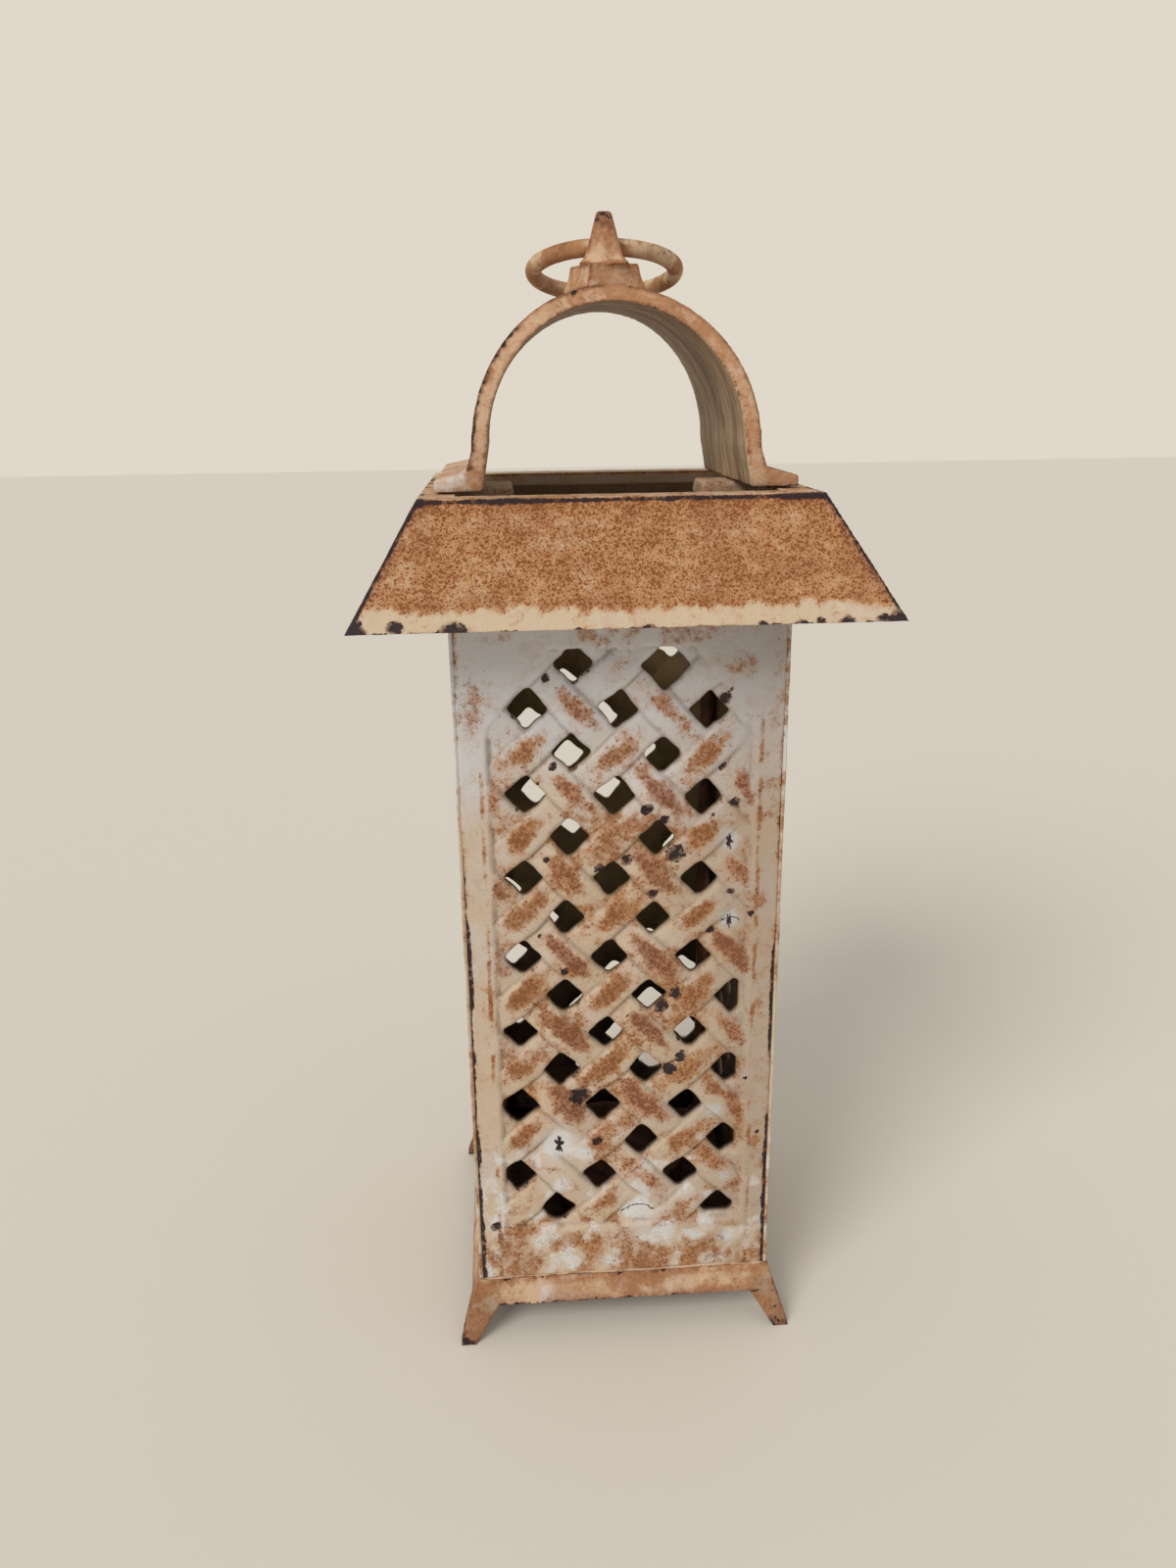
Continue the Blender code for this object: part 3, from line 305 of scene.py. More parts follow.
def painted_iron(name, cream=CREAM, stain=PEACH, stain_share=0.5, speckle=0.0, dot_size=0.95, dots=0.9,
                 wash_share=0.62, rust=RUST, rust_light=RUST_LIGHT, streaks=False, tear=1.0,
                 stars=(), arcs=()):
    """Old cream paint on cast iron. Attributes say where and how it wore, and where shade is painted on it.
    """
    g = Graph(name)
    reddish = g.times(g.attribute("red"), 0.75)
    rust = g.mix(reddish, rust, RUST_RED)
    rust_light = g.mix(reddish, rust_light, RUST_PINK)
    wear_rust, wear_chip = g.attribute("rust"), g.attribute("chip")
    grains = ((17.0, 2.0), (4.5, 3.0, 0.55, 0.4), (1.3, 3.0, 0.6, 0.3), (0.5, 2.0, 0.6))
    broad, middle, fine, dust = (g.step(g.noise(*grain), 0.3, 0.7) for grain in grains)

    coolness = g.add(g.attribute("cool"), g.sway(broad, 0.35), g.sway(fine, 0.12))
    colour = g.mix(coolness, cream, CREAM_COOL)
    stained = g.add(g.times(middle, 0.35), g.times(broad, 0.25), g.times(fine, 0.15), g.times(wear_rust, 0.6))
    colour = g.mix(g.times(g.step(stained, 0.35, 1.05), stain_share), colour, stain)
    whiter = g.add(g.attribute("white"), g.sway(middle, 0.35), g.sway(fine, 0.25))
    colour = g.mix(g.step(whiter, 0.35, 0.85), colour, CREAM_PALE)
    # Darker brown where that attribute says: painted shade in creases and on the front's right side, and
    # darker places on other pieces
    colour = g.mix(g.attribute("dirt"), colour, SHADE_AND_GRIME)
    if streaks:
        colour = g.mix(g.attribute("grain"), colour, brown_streaks(g))

    density = g.add(g.times(wear_rust, 0.85), g.sway(middle, 0.45), g.sway(fine, 0.4), speckle)
    hue = g.mix(g.step(g.noise(12.0, 2.0), 0.4, 0.6), rust_light, g.mix(0.5, rust_light, rust))
    wash = g.step(density, 0.25, 0.95)
    colour = g.mix(g.times(wash, wash_share), colour, hue)
    small_dots = (dot_size * 0.55, dots * 0.6, g.mix(0.35, rust, RUST_DEEP))
    for size, share, tint in ((dot_size, dots, rust), small_dots):
        shade, distance = g.cells(size)
        reach = g.times(g.math("MAXIMUM", density, 0.0), g.add(g.times(shade, 0.75), 0.05))
        inside = g.add(reach, g.times(distance, -1.0), g.sway(dust, 0.22))
        colour = g.mix(g.times(g.step(inside, -0.16, 0.16), share), colour, tint)

    torn = g.add(g.sway(middle, 0.2), g.sway(fine, 0.3), g.sway(g.cells(1.1)[0], 0.9))
    ragged = g.add(wear_chip, g.times(torn, g.step(wear_chip, 0.05, 0.4, 0.0, tear)))
    if stars or arcs:
        ragged = g.math("MAXIMUM", ragged, cracks(g, stars, arcs, fine))
    halo = g.step(g.add(wear_chip, g.sway(fine, 0.16), g.sway(middle, 0.14)), 0.16, 0.56)
    chips = g.step(ragged, 0.48, 0.54)
    colour = g.mix(g.times(halo, 0.8), colour, g.mix(halo, rust, RUST_DEEP))
    colour = g.mix(chips, colour, g.mix(g.times(fine, 0.35), IRON, RUST_DEEP))

    # Painted shade inside the lantern: where the attribute says, a dim olive brown, painted lighter higher
    # up, from 55 to 130 mm
    inner_shade = g.mix(g.step(g.axes()["Z"], 0.055, 0.13), INNER_SHADE_LOW, INNER_SHADE_HIGH)
    inner_shade = g.mix(g.times(broad, 0.5), inner_shade, INNER_SHADE_LOW)
    g.surface("Base Color", g.mix(g.attribute("dark"), colour, inner_shade))
    g.surface("Roughness", g.step(g.add(g.times(fine, 0.5), g.times(wash, 0.4)), 0.1, 0.9, 0.6, 0.88))
    g.surface("Specular IOR Level", 0.3)
    g.bump(g.add(g.times(g.noise(0.7, 3.0, 0.65), 0.9), g.times(g.noise(3.0, 2.0), 0.6),
                 g.times(wash, g.times(dust, 0.3)), g.times(chips, -0.5)), 0.28)
    return g.material


def bare_iron(name):
    g = Graph(name)
    broad, fine = g.noise(5.0, 3.0, 0.6), g.noise(0.7, 3.0, 0.65)
    colour = g.mix(g.step(g.add(broad, g.times(fine, 0.5)), 0.55, 0.95), srgb(64, 48, 40), srgb(112, 66, 40))
    g.surface("Base Color", g.mix(g.step(fine, 0.62, 0.8), colour, srgb(146, 92, 56)))
    g.surface("Metallic", 0.25)
    g.surface("Roughness", g.step(fine, 0.3, 0.7, 0.5, 0.78))
    g.bump(g.add(fine, g.times(broad, 0.4)), 0.12)
    return g.material


# On the front, the paint is cracked at both closed holes and at two places near the right edge
STARS = ((-17.8, 60.6), 2.3, 0.4), ((27.7, 149.0), 1.7, 1.3), ((28.2, 126.6), 1.5, 2.6)
ARCS = ((4.1, 36.6), 4.4), ((28.6, 126.0), 2.6)
PANEL_PAINT = painted_iron("panel_paint_worn", stain_share=0.65, dots=0.72, wash_share=0.76)
FRONT_PAINT = painted_iron("panel_paint_cracked", stain_share=0.65, dots=0.72, wash_share=0.76,
                           stars=STARS, arcs=ARCS)
TOP_PAINT = painted_iron("top_plate_paint", speckle=0.35)
ROOF_PAINT = painted_iron("roof_paint_rusted", cream=srgb(206, 184, 155), stain=srgb(196, 142, 98),
                          stain_share=0.85, dot_size=0.58, dots=1.0, wash_share=0.55,
                          rust=srgb(140, 80, 36), rust_light=srgb(188, 136, 84))
BASE_PAINT = painted_iron("base_paint_stained", cream=srgb(204, 174, 144), stain=srgb(176, 132, 98),
                          stain_share=0.85, dots=0.25, wash_share=0.6)
HANDLE_PAINT = painted_iron("handle_paint_worn", cream=srgb(206, 172, 140), stain=srgb(184, 136, 102),
                            stain_share=0.9, dots=0.2, wash_share=0.5, tear=0.3, streaks=True)
RING_PAINT = painted_iron("ring_paint_rubbed", cream=srgb(206, 178, 144), stain=srgb(180, 138, 98),
                          stain_share=0.9, dots=0.12, wash_share=0.65, tear=0.5)
DARK_IRON = bare_iron("dark_iron_rusted")


# Meshes

def add_object(name, data):
    made = bpy.data.objects.new(name, data)
    bpy.context.scene.collection.objects.link(made)
    return made


def configure(thing, **values):
    for name, value in values.items():
        setattr(thing, name, value)


def new_piece(name, mesh, body, slot, material, *stands_for):
    made = add_object(name, mesh)
    mesh.materials.clear()
    mesh.materials.append(material)
    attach(made, body)
    if stands_for:
        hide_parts(*stands_for)


def dress(mesh, **values):
    """Set the wear and the painted shade on a mesh's vertices; what isn't named is 0."""
    for name in ("rust", "red", "chip", "cool", "white", "dirt", "dark", "grain"):
        spread = np.broadcast_to(values.get(name, 0.0), len(mesh.vertices))
        mesh.attributes.new(name, "FLOAT", "POINT").data.foreach_set("value", spread.astype(np.float32))


def vertex_rows(mesh, what):
    flat = np.empty(len(mesh.vertices) * 3, np.float32)
    mesh.vertices.foreach_get(what, flat)
    return flat.reshape(-1, 3).astype(float)


def mesh_points(mesh):
    """Vertex places in mm."""
    return vertex_rows(mesh, "co") / MM


def set_points(mesh, points):
    mesh.vertices.foreach_set("co", (points * MM).astype(np.float32).ravel())
    mesh.update()


def side_faces(rings, around, closed=False):
    """Faces between rings of vertices, the last ring and the first too where the row of rings is closed."""
    return [(k * around + j, k * around + (j + 1) % around, (k + 1) % rings * around + (j + 1) % around,
             (k + 1) % rings * around + j)
            for k in range(rings if closed else rings - 1) for j in range(around)]


def tube_faces(rings, around):
    """Faces between rings of vertices, and one over each end."""
    ends = [tuple(range(first, first + around)) for first in (0, (rings - 1) * around)]
    return side_faces(rings, around) + ends


def closed_mesh(*parts):
    """One smooth mesh of closed shapes, each given as vertices in mm and faces."""
    bm = bmesh.new()
    for places, faces in parts:
        verts = [bm.verts.new([value * MM for value in place]) for place in places]
        for face in faces:
            bm.faces.new([verts[number] for number in face])
    bmesh.ops.recalc_face_normals(bm, faces=bm.faces)
    mesh = bpy.data.meshes.new("closed")
    bm.to_mesh(mesh)
    bm.free()
    mesh.shade_smooth()
    return mesh


def recast(source, voxel, rounds):
    """A fine mesh of a CAD node or of a closed mesh, softened as a sand casting is."""
    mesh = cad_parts[source].data.copy() if isinstance(source, str) else source
    made = add_object("recast", mesh)
    configure(made.modifiers.new("remesh", "REMESH"), mode="VOXEL", voxel_size=voxel * MM)
    configure(made.modifiers.new("smooth", "SMOOTH"), factor=0.5, iterations=rounds)
    bpy.context.view_layer.update()
    mesh = bpy.data.meshes.new_from_object(made.evaluated_get(bpy.context.evaluated_depsgraph_get()))
    bpy.data.objects.remove(made)
    mesh.shade_smooth()
    return mesh


def roughen(mesh, broad, fine, seed):
    """Sink the surface by noise, so that it stays inside its CAD solid, and return its new places in mm."""
    points = mesh_points(mesh)
    sink = broad * noise(points, 8.0, seed) + fine * noise(points, 1.8, seed + 1)
    set_points(mesh, points - vertex_rows(mesh, "normal") * sink[:, None])
    return mesh_points(mesh)


def segment_distance(points, pairs):
    """Distance from each point to the nearest of the line segments."""
    nearest = np.full(len(points), 1e3)
    for a, b in np.asarray(pairs, float):
        along = b - a
        share = np.clip((points - a) @ along / (along @ along), 0, 1)
        nearest = np.minimum(nearest, np.linalg.norm(points - a - share[:, None] * along, axis=1))
    return nearest


def edge_distance(points, node, angle=30.0):
    """Distance in mm from each point to the nearest convex edge of a CAD node."""
    bm = bmesh.new()
    bm.from_mesh(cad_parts[node].data)
    bmesh.ops.remove_doubles(bm, verts=bm.verts, dist=1e-6)
    bmesh.ops.recalc_face_normals(bm, faces=bm.faces)
    pairs = [[vert.co / MM for vert in edge.verts] for edge in bm.edges
             if len(edge.link_faces) == 2 and edge.is_convex
             and edge.calc_face_angle(0.0) > math.radians(angle) and edge.calc_length() > 0.2 * MM]
    bm.free()
    return segment_distance(points, pairs)


# Shape of the lattice panels

def grid_places(odd):
    """Columns and rows of the lattice's holes, where odd is 0, or of its crossings, where it is 1."""
    return [(column, row) for row in range(-10, 11) for column in range(-5, 6) if (column + row) % 2 == odd]


def from_grid(column, row):
    x, z = turned(column * STEP_X, row * STEP_Z, GRID_TURN)
    return GRID_X + x, GRID_Z + z


def strands(u, v, wobble):
    """For each family, the distance across its nearest strand and along from where it crosses over."""
    x, z = turned(u - GRID_X, v - GRID_Z, -GRID_TURN)
    column, row = x / STEP_X, z / STEP_Z
    found = []
    for line, other, over in ((column - row, column + row, 1), (column + row, column - row, 0)):
        nearest = 2 * np.round((line - 1) / 2) + 1
        across = (line - nearest) / 2 * PITCH + wobble
        level = (other - nearest) / 2 if over else (nearest - other) / 2
        along = (level - over - 2 * np.round((level - over) / 2)) * PITCH
        found.append((across, along))
    return found


def window_distance(u, v):
    """Distance outside the window's outline, negative inside."""
    corner = 1.0 - (WINDOW_HALF - np.abs(u)) / CORNER_WIDE - (WINDOW_TOP - v) / CORNER_HIGH
    corner = corner / math.hypot(1 / CORNER_WIDE, 1 / CORNER_HIGH)
    return most(np.abs(u) - WINDOW_HALF, WINDOW_FOOT - v, v - WINDOW_TOP, corner)


def soft_max(first, second, reach):
    """The greater of two distances, with a rounded corner where they meet."""
    share = np.clip(0.5 - (first - second) / (2 * reach), 0, 1)
    return first * (1 - share) + second * share + reach * share * (1 - share)


class Panel:
    """The shape of one lattice panel that faces -Y, in mm. wider gives the half side of some holes."""

    def __init__(self, seed, nosed, foot=PANEL_FOOT, top=PANEL_TOP, left_out=(), wider=None,
                 right_rim=WINDOW_HALF - 0.6):
        self.seed, self.nosed, self.foot, self.top = seed, nosed, foot, top
        self.end = NOSE_END if nosed else FLAT_END
        self.right_rim = right_rim
        rng = np.random.default_rng(seed)
        self.holes = []
        for column, row in grid_places(0):
            u, v = from_grid(column, row)
            if window_distance(u, v) > -3.0 or (column, row) in left_out:
                continue
            half = HOLE_SIDE / 2 + rng.uniform(-0.25, 0.2)
            turn = STRAND_SLOPE + GRID_TURN + math.radians(rng.uniform(-2.5, 2.5))
            u += rng.uniform(-0.2, 0.2)
            v += rng.uniform(-0.2, 0.2)
            half = (wider or {}).get((column, row), half)
            self.holes.append((u, v, half, turn, rng.uniform(0.9, 1.6)))

    def points(self, u, v):
        return np.column_stack([u, v, np.full(len(u), 13.7 * self.seed)])

    def hole_distance(self, u, v):
        """Distance outside the nearest hole, negative in it."""
        nearest = np.full(len(u), 1e3)
        for hole_u, hole_v, half, turn, corner in self.holes:
            close = np.flatnonzero((np.abs(u - hole_u) < 12) & (np.abs(v - hole_v) < 12))
            a, b = turned(u[close] - hole_u, v[close] - hole_v, -turn)
            a, b = np.abs(a) - half + corner, np.abs(b) - half + corner
            away = np.hypot(np.maximum(a, 0), np.maximum(b, 0)) + np.minimum(np.maximum(a, b), 0) - corner
            nearest[close] = np.minimum(nearest[close], away)
        shift = (noise(self.points(u, v), 3.2, 5) - 0.5) * 0.7
        rim = soft_max(window_distance(u, v) + 0.6, WINDOW_FOOT + 1.6 - v, 0.3)
        return soft_max(nearest + shift, np.maximum(rim, u - self.right_rim), 0.5)

    def raw_depth(self, u, v):
        """Depth of the woven strands and the frame under the face."""
        points = self.points(u, v)
        wobble = (noise(points, 7.0, 1) - 0.5) * 0.6
        depth = np.full(len(u), RECESS)
        for across, along in strands(u, v, wobble):
            rise = CROWN + ARCH * (1 - np.cos(math.pi * along / PITCH)) / 2
            rise = rise + 0.35 * np.clip(np.abs(across) / STRAND_HALF, 0, 1) ** 4
            depth = np.where(np.abs(across) < STRAND_HALF, np.minimum(depth, rise), depth)
        border = window_distance(u, v) + (noise(points, 5.0, 2) - 0.5) * 0.9
        crease = 0.18 * ease(0.7 - np.abs(border + 0.2), 0, 0.6) * ease(noise(points, 9.0, 6), 0.2, 0.6)
        return depth * ease(-border, -0.15, 0.55) + crease

    def depth_about(self, u, v, radius):
        """The mean of the raw depth round a point."""
        angles = np.arange(8) * math.pi / 4
        return sum(self.raw_depth(u + radius * math.cos(a), v + radius * math.sin(a)) for a in angles) / 8

    def hollow(self, u, v):
        """How much deeper a point lies than what is about it: more than 0 at the foot of a step."""
        return self.raw_depth(u, v) - self.depth_about(u, v, 1.1)

    def depth(self, u, v):
        """Depth under the face, smoothed as thick paint smooths it and rounded at each edge."""
        points = self.points(u, v)
        depth = 0.2 * self.raw_depth(u, v) + 0.8 * self.depth_about(u, v, 0.26)
        depth = depth + 0.22 * noise(points, 9.0, 3) + 0.10 * noise(points, 2.2, 4)
        for distance, radius in ((self.hole_distance(u, v), 1.0),
                                 (self.end - np.abs(u), 0.2 if self.nosed else 0.5),
                                 (np.minimum(v - self.foot, self.top - v), 0.4)):
            gone = np.clip(radius - distance, 0, radius)
            depth = depth + radius - np.sqrt(radius * radius - gone * gone)
        return np.clip(depth, 0.0, 3.2)


# Meshes of the lattice panels

def spaced(low, high, step, ends=(0.18, 0.45, 0.85)):
    """Grid lines between low and high, closer at both ends."""
    count = max(2, round((high - low - 2 * ends[-1]) / step) + 1)
    middle = np.linspace(low + ends[-1], high - ends[-1], count)
    return np.concatenate([[low], low + np.array(ends[:-1]), middle, high - np.array(ends[-2::-1]), [high]])


def cut_grid(us, vs, field):
    """Vertices and faces of the grid where field is above 0, cut along its zero line.

    Also returns the edges on the zero line, and the vertices along the outer border in order.
    """
    solid = field > 0
    inner_count = int(solid.sum())
    index = -np.ones(solid.shape, int)
    index[solid] = np.arange(inner_count)
    grid_u, grid_v = np.meshgrid(us, vs, indexing="ij")
    places = list(zip(grid_u[solid], grid_v[solid]))
    crossing = {}
    for axis, (di, dj) in enumerate(((1, 0), (0, 1))):
        changes = solid[:len(us) - di, :len(vs) - dj] != solid[di:, dj:]
        for i, j in np.argwhere(changes):
            here, after = field[i, j], field[i + di, j + dj]
            share = min(max(here / (here - after), 0.12), 0.88)
            crossing[axis, i, j] = len(places)
            places.append((us[i] + (us[i + di] - us[i]) * share, vs[j] + (vs[j + dj] - vs[j]) * share))
    round_cell = ((0, 0), (1, 0), (1, 1), (0, 1))
    parts = [np.s_[di:len(us) - 1 + di, dj:len(vs) - 1 + dj] for di, dj in round_cell]
    whole = np.logical_and.reduce([solid[part] for part in parts])
    some = np.logical_or.reduce([solid[part] for part in parts])
    faces = np.stack([index[part][whole] for part in parts], axis=1).tolist()
    edges = []
    for i, j in np.argwhere(some & ~whole):
        corners = [(i + di, j + dj) for di, dj in round_cell]
        sides = [(0, i, j), (1, i + 1, j), (0, i, j + 1), (1, i, j)]
        face = []
        for k in range(4):
            here, after = corners[k], corners[(k + 1) % 4]
            if solid[here]:
                face.append(int(index[here]))
            if solid[here] != solid[after]:
                face.append(crossing[sides[k]])
        faces.append(face)
        edges += [(vert, after) for vert, after in zip(face, face[1:] + face[:1])
                  if vert >= inner_count and after >= inner_count]
    border = np.concatenate([index[:, 0], index[-1, 1:], index[-2::-1, -1], index[0, -2:0:-1]])
    return np.array(places), faces, edges, border.tolist()


def hole_loops(edges):
    """A vertex of each hole's outline, which stands for the hole, by every vertex of that outline."""
    beside = {}
    for a, b in edges:
        beside.setdefault(a, []).append(b)
        beside.setdefault(b, []).append(a)
    found = {}
    for start in beside:
        waiting = [start]
        while waiting:
            vert = waiting.pop()
            if vert not in found:
                found[vert] = start
                waiting += beside[vert]
    return found


def inside_outline(place, edges, coords):
    """Whether a place lies within the outline of a hole, in x and z."""
    crossings = 0
    for a, b in edges:
        (u1, _, v1), (u2, _, v2) = coords[a], coords[b]
        if (v1 > place[2]) != (v2 > place[2]) and place[0] < u1 + (place[2] - v1) / (v2 - v1) * (u2 - u1):
            crossings += 1
    return crossings % 2 == 1


def back_faces(coords, outline, hole_edges):
    """The flat back of a panel, as triangles between its outline and its holes."""
    used = sorted({vert for edge in outline + hole_edges for vert in edge})
    number = {vert: k for k, vert in enumerate(used)}
    result = geometry.delaunay_2d_cdt([Vector((coords[vert, 0], coords[vert, 2])) for vert in used],
                                      [(number[a], number[b]) for a, b in outline + hole_edges], [], 2, 1e-5)
    origin = [used[found[0]] for found in result[3]]
    hole_of = hole_loops(hole_edges)
    outlines = {}
    for edge in hole_edges:
        outlines.setdefault(hole_of[edge[0]], []).append(edge)
    flat = []
    for face in result[2]:
        corners = [origin[vert] for vert in face]
        holes = {hole_of.get(vert) for vert in corners}
        if len(holes) > 1 or None in holes or not inside_outline(
                coords[corners].mean(axis=0), outlines[holes.pop()], coords):
            flat.append(corners[::-1])
    return flat


def panel_mesh(name, shape, step):
    """A whole panel with its lattice, facing -Y, as a closed mesh."""
    us, vs = spaced(-shape.end, shape.end, step), spaced(shape.foot, shape.top, step)
    grid_u, grid_v = np.meshgrid(us, vs, indexing="ij")
    field = shape.hole_distance(grid_u.ravel(), grid_v.ravel()).reshape(grid_u.shape)
    places, faces, hole_edges, border = cut_grid(us, vs, field)
    u, v = places.T
    y = shape.depth(u, v) - BODY_HALF
    blocks = [np.column_stack([u, y, v])]

    def copies(verts, new_u, new_y):
        """The number of a copy of each vertex, elsewhere at the same height."""
        first = sum(map(len, blocks))
        blocks.append(np.column_stack([new_u, np.broadcast_to(new_y, len(verts)), v[verts]]))
        return {vert: first + k for k, vert in enumerate(verts)}

    def wall(pairs, near, far):
        return [(near[b], near[a], far[a], far[b]) for a, b in pairs]

    face_verts = range(len(places))
    around = sorted({vert for edge in hole_edges for vert in edge})
    within = copies(around, u[around], y[around] + 0.35 * (-INNER_HALF - y[around]))
    back_holes = copies(around, u[around], -INNER_HALF)
    walls = wall(hole_edges, face_verts, within) + wall(hole_edges, within, back_holes)
    loop = list(zip(border, border[1:] + border[:1]))
    edge_verts = face_verts
    if shape.nosed:
        edge_verts = copies(border, u[border], MITRE_NOSED - NOSE_END)
        walls += wall(loop, face_verts, edge_verts)
    inner_end = INNER_HALF + (MITRE_NOSED if shape.nosed else MITRE_FLAT)
    back_u = np.clip(u[border], -inner_end, inner_end)
    back = copies(border, back_u, -INNER_HALF)
    first_at = {}
    for vert, across in zip(border, back_u):
        back[vert] = first_at.setdefault((round(across, 4), round(v[vert], 4)), back[vert])
    walls += wall(loop, edge_verts, back)
    for corners in walls:
        face = [vert for k, vert in enumerate(corners) if vert != corners[k - 1]]
        if len(face) > 2:
            faces.append(face)
    coords = np.concatenate(blocks)
    faces += back_faces(coords, [(back[a], back[b]) for a, b in loop if back[a] != back[b]],
                        [(back_holes[a], back_holes[b]) for a, b in hole_edges])
    mesh = bpy.data.meshes.new(name)
    mesh.from_pydata((coords * MM).tolist(), [], faces)
    bm = bmesh.new()
    bm.from_mesh(mesh)
    bmesh.ops.delete(bm, geom=[vert for vert in bm.verts if not vert.link_faces], context="VERTS")
    bmesh.ops.recalc_face_normals(bm, faces=bm.faces)
    bm.to_mesh(mesh)
    bm.free()
    mesh.shade_smooth()
    return mesh


# Wear and painted shade of the lattice panels. Places on the front: (across, height), radius, in mm

FRONT_CHIPS = [
    ((13.8, 146.4), 2.2), ((7.8, 135.5), 1.2), ((25.7, 186.8), 1.4), ((28.6, 159.9), 1.1),
    ((6.4, 158.7), 1.3), ((10.7, 155.6), 1.1), ((-5.9, 142.9), 1.1), ((28.3, 135.4), 0.9),
    ((-11.8, 76.2), 2.3), ((10.3, 102.1), 1.6), ((14.2, 106.3), 1.3), ((15.8, 86.9), 1.2),
    ((12.6, 83.4), 1.6), ((-36.3, 35.5), 1.2), ((-7.2, 61.8), 1.2), ((-15.2, 114.4), 0.9),
    ((-12.2, 170.0), 1.0), ((-17.3, 170.7), 0.9), ((1.2, 144.8), 1.3),
]
RUBBED = (((-17.8, 48.5), 5.5), ((-11.5, 58.0), 4.5), ((25.0, 70.0), 6.0), ((28.5, 48.2), 4.5),
          ((11.5, 29.0), 5.5), ((29.0, 28.0), 5.0))
OVER_FLASH = (((-17.8, 60.6), 7.2), ((4.1, 38.0), 6.5))
OVER_CRACKS = (((27.7, 149.4), 4.6), ((28.0, 127.1), 4.6))

# Places, how white, by how much wider they are free of rust, how free, and over what share of the way
FRONT_PALE = ((RUBBED, 0.95, 1.0, 0.6, 0.5), (OVER_FLASH, 1.5, 1.2, 1.0, 0.4),
              (OVER_CRACKS, 1.2, 1.087, 1.0, 0.5))


def crossing_wear(shape, u, v):
    """Rust and redness on the strands' crossings, and the places and radii of bare spots above them."""
    rng = np.random.default_rng(shape.seed + 90)
    rust, red, bare = np.zeros(len(u)), np.zeros(len(u)), []
    for column, row in grid_places(1):
        rising = row % 2 == 1
        slope = (STRAND_SLOPE if rising else -STRAND_SLOPE) + GRID_TURN
        size = rng.uniform(0.85, 1.2)
        at = np.array(from_grid(column, row)) + (0.6 if rising else 0.2, 1.6) + rng.uniform(-0.5, 0.5, 2)
        lens = spot(u, v, at, (3.6 if rising else 3.1) * size, 2.4 if rising else 3.7, slope)
        rust = most(rust, rng.uniform(0.6, 1.4) * ease(lens, 0.0, 0.75))
        if not rising:
            red = most(red, rng.uniform(0.4, 1.0) * ease(lens, 0.0, 0.4))
            if rng.uniform() < (0.55 if at[1] > 75.0 else 0.2):
                head = at + np.array([-6.2, 5.6]) * size + rng.uniform(-0.8, 0.8, 2)
                bare.append((head, rng.uniform(0.4, 0.9)))
    return rust, red, bare


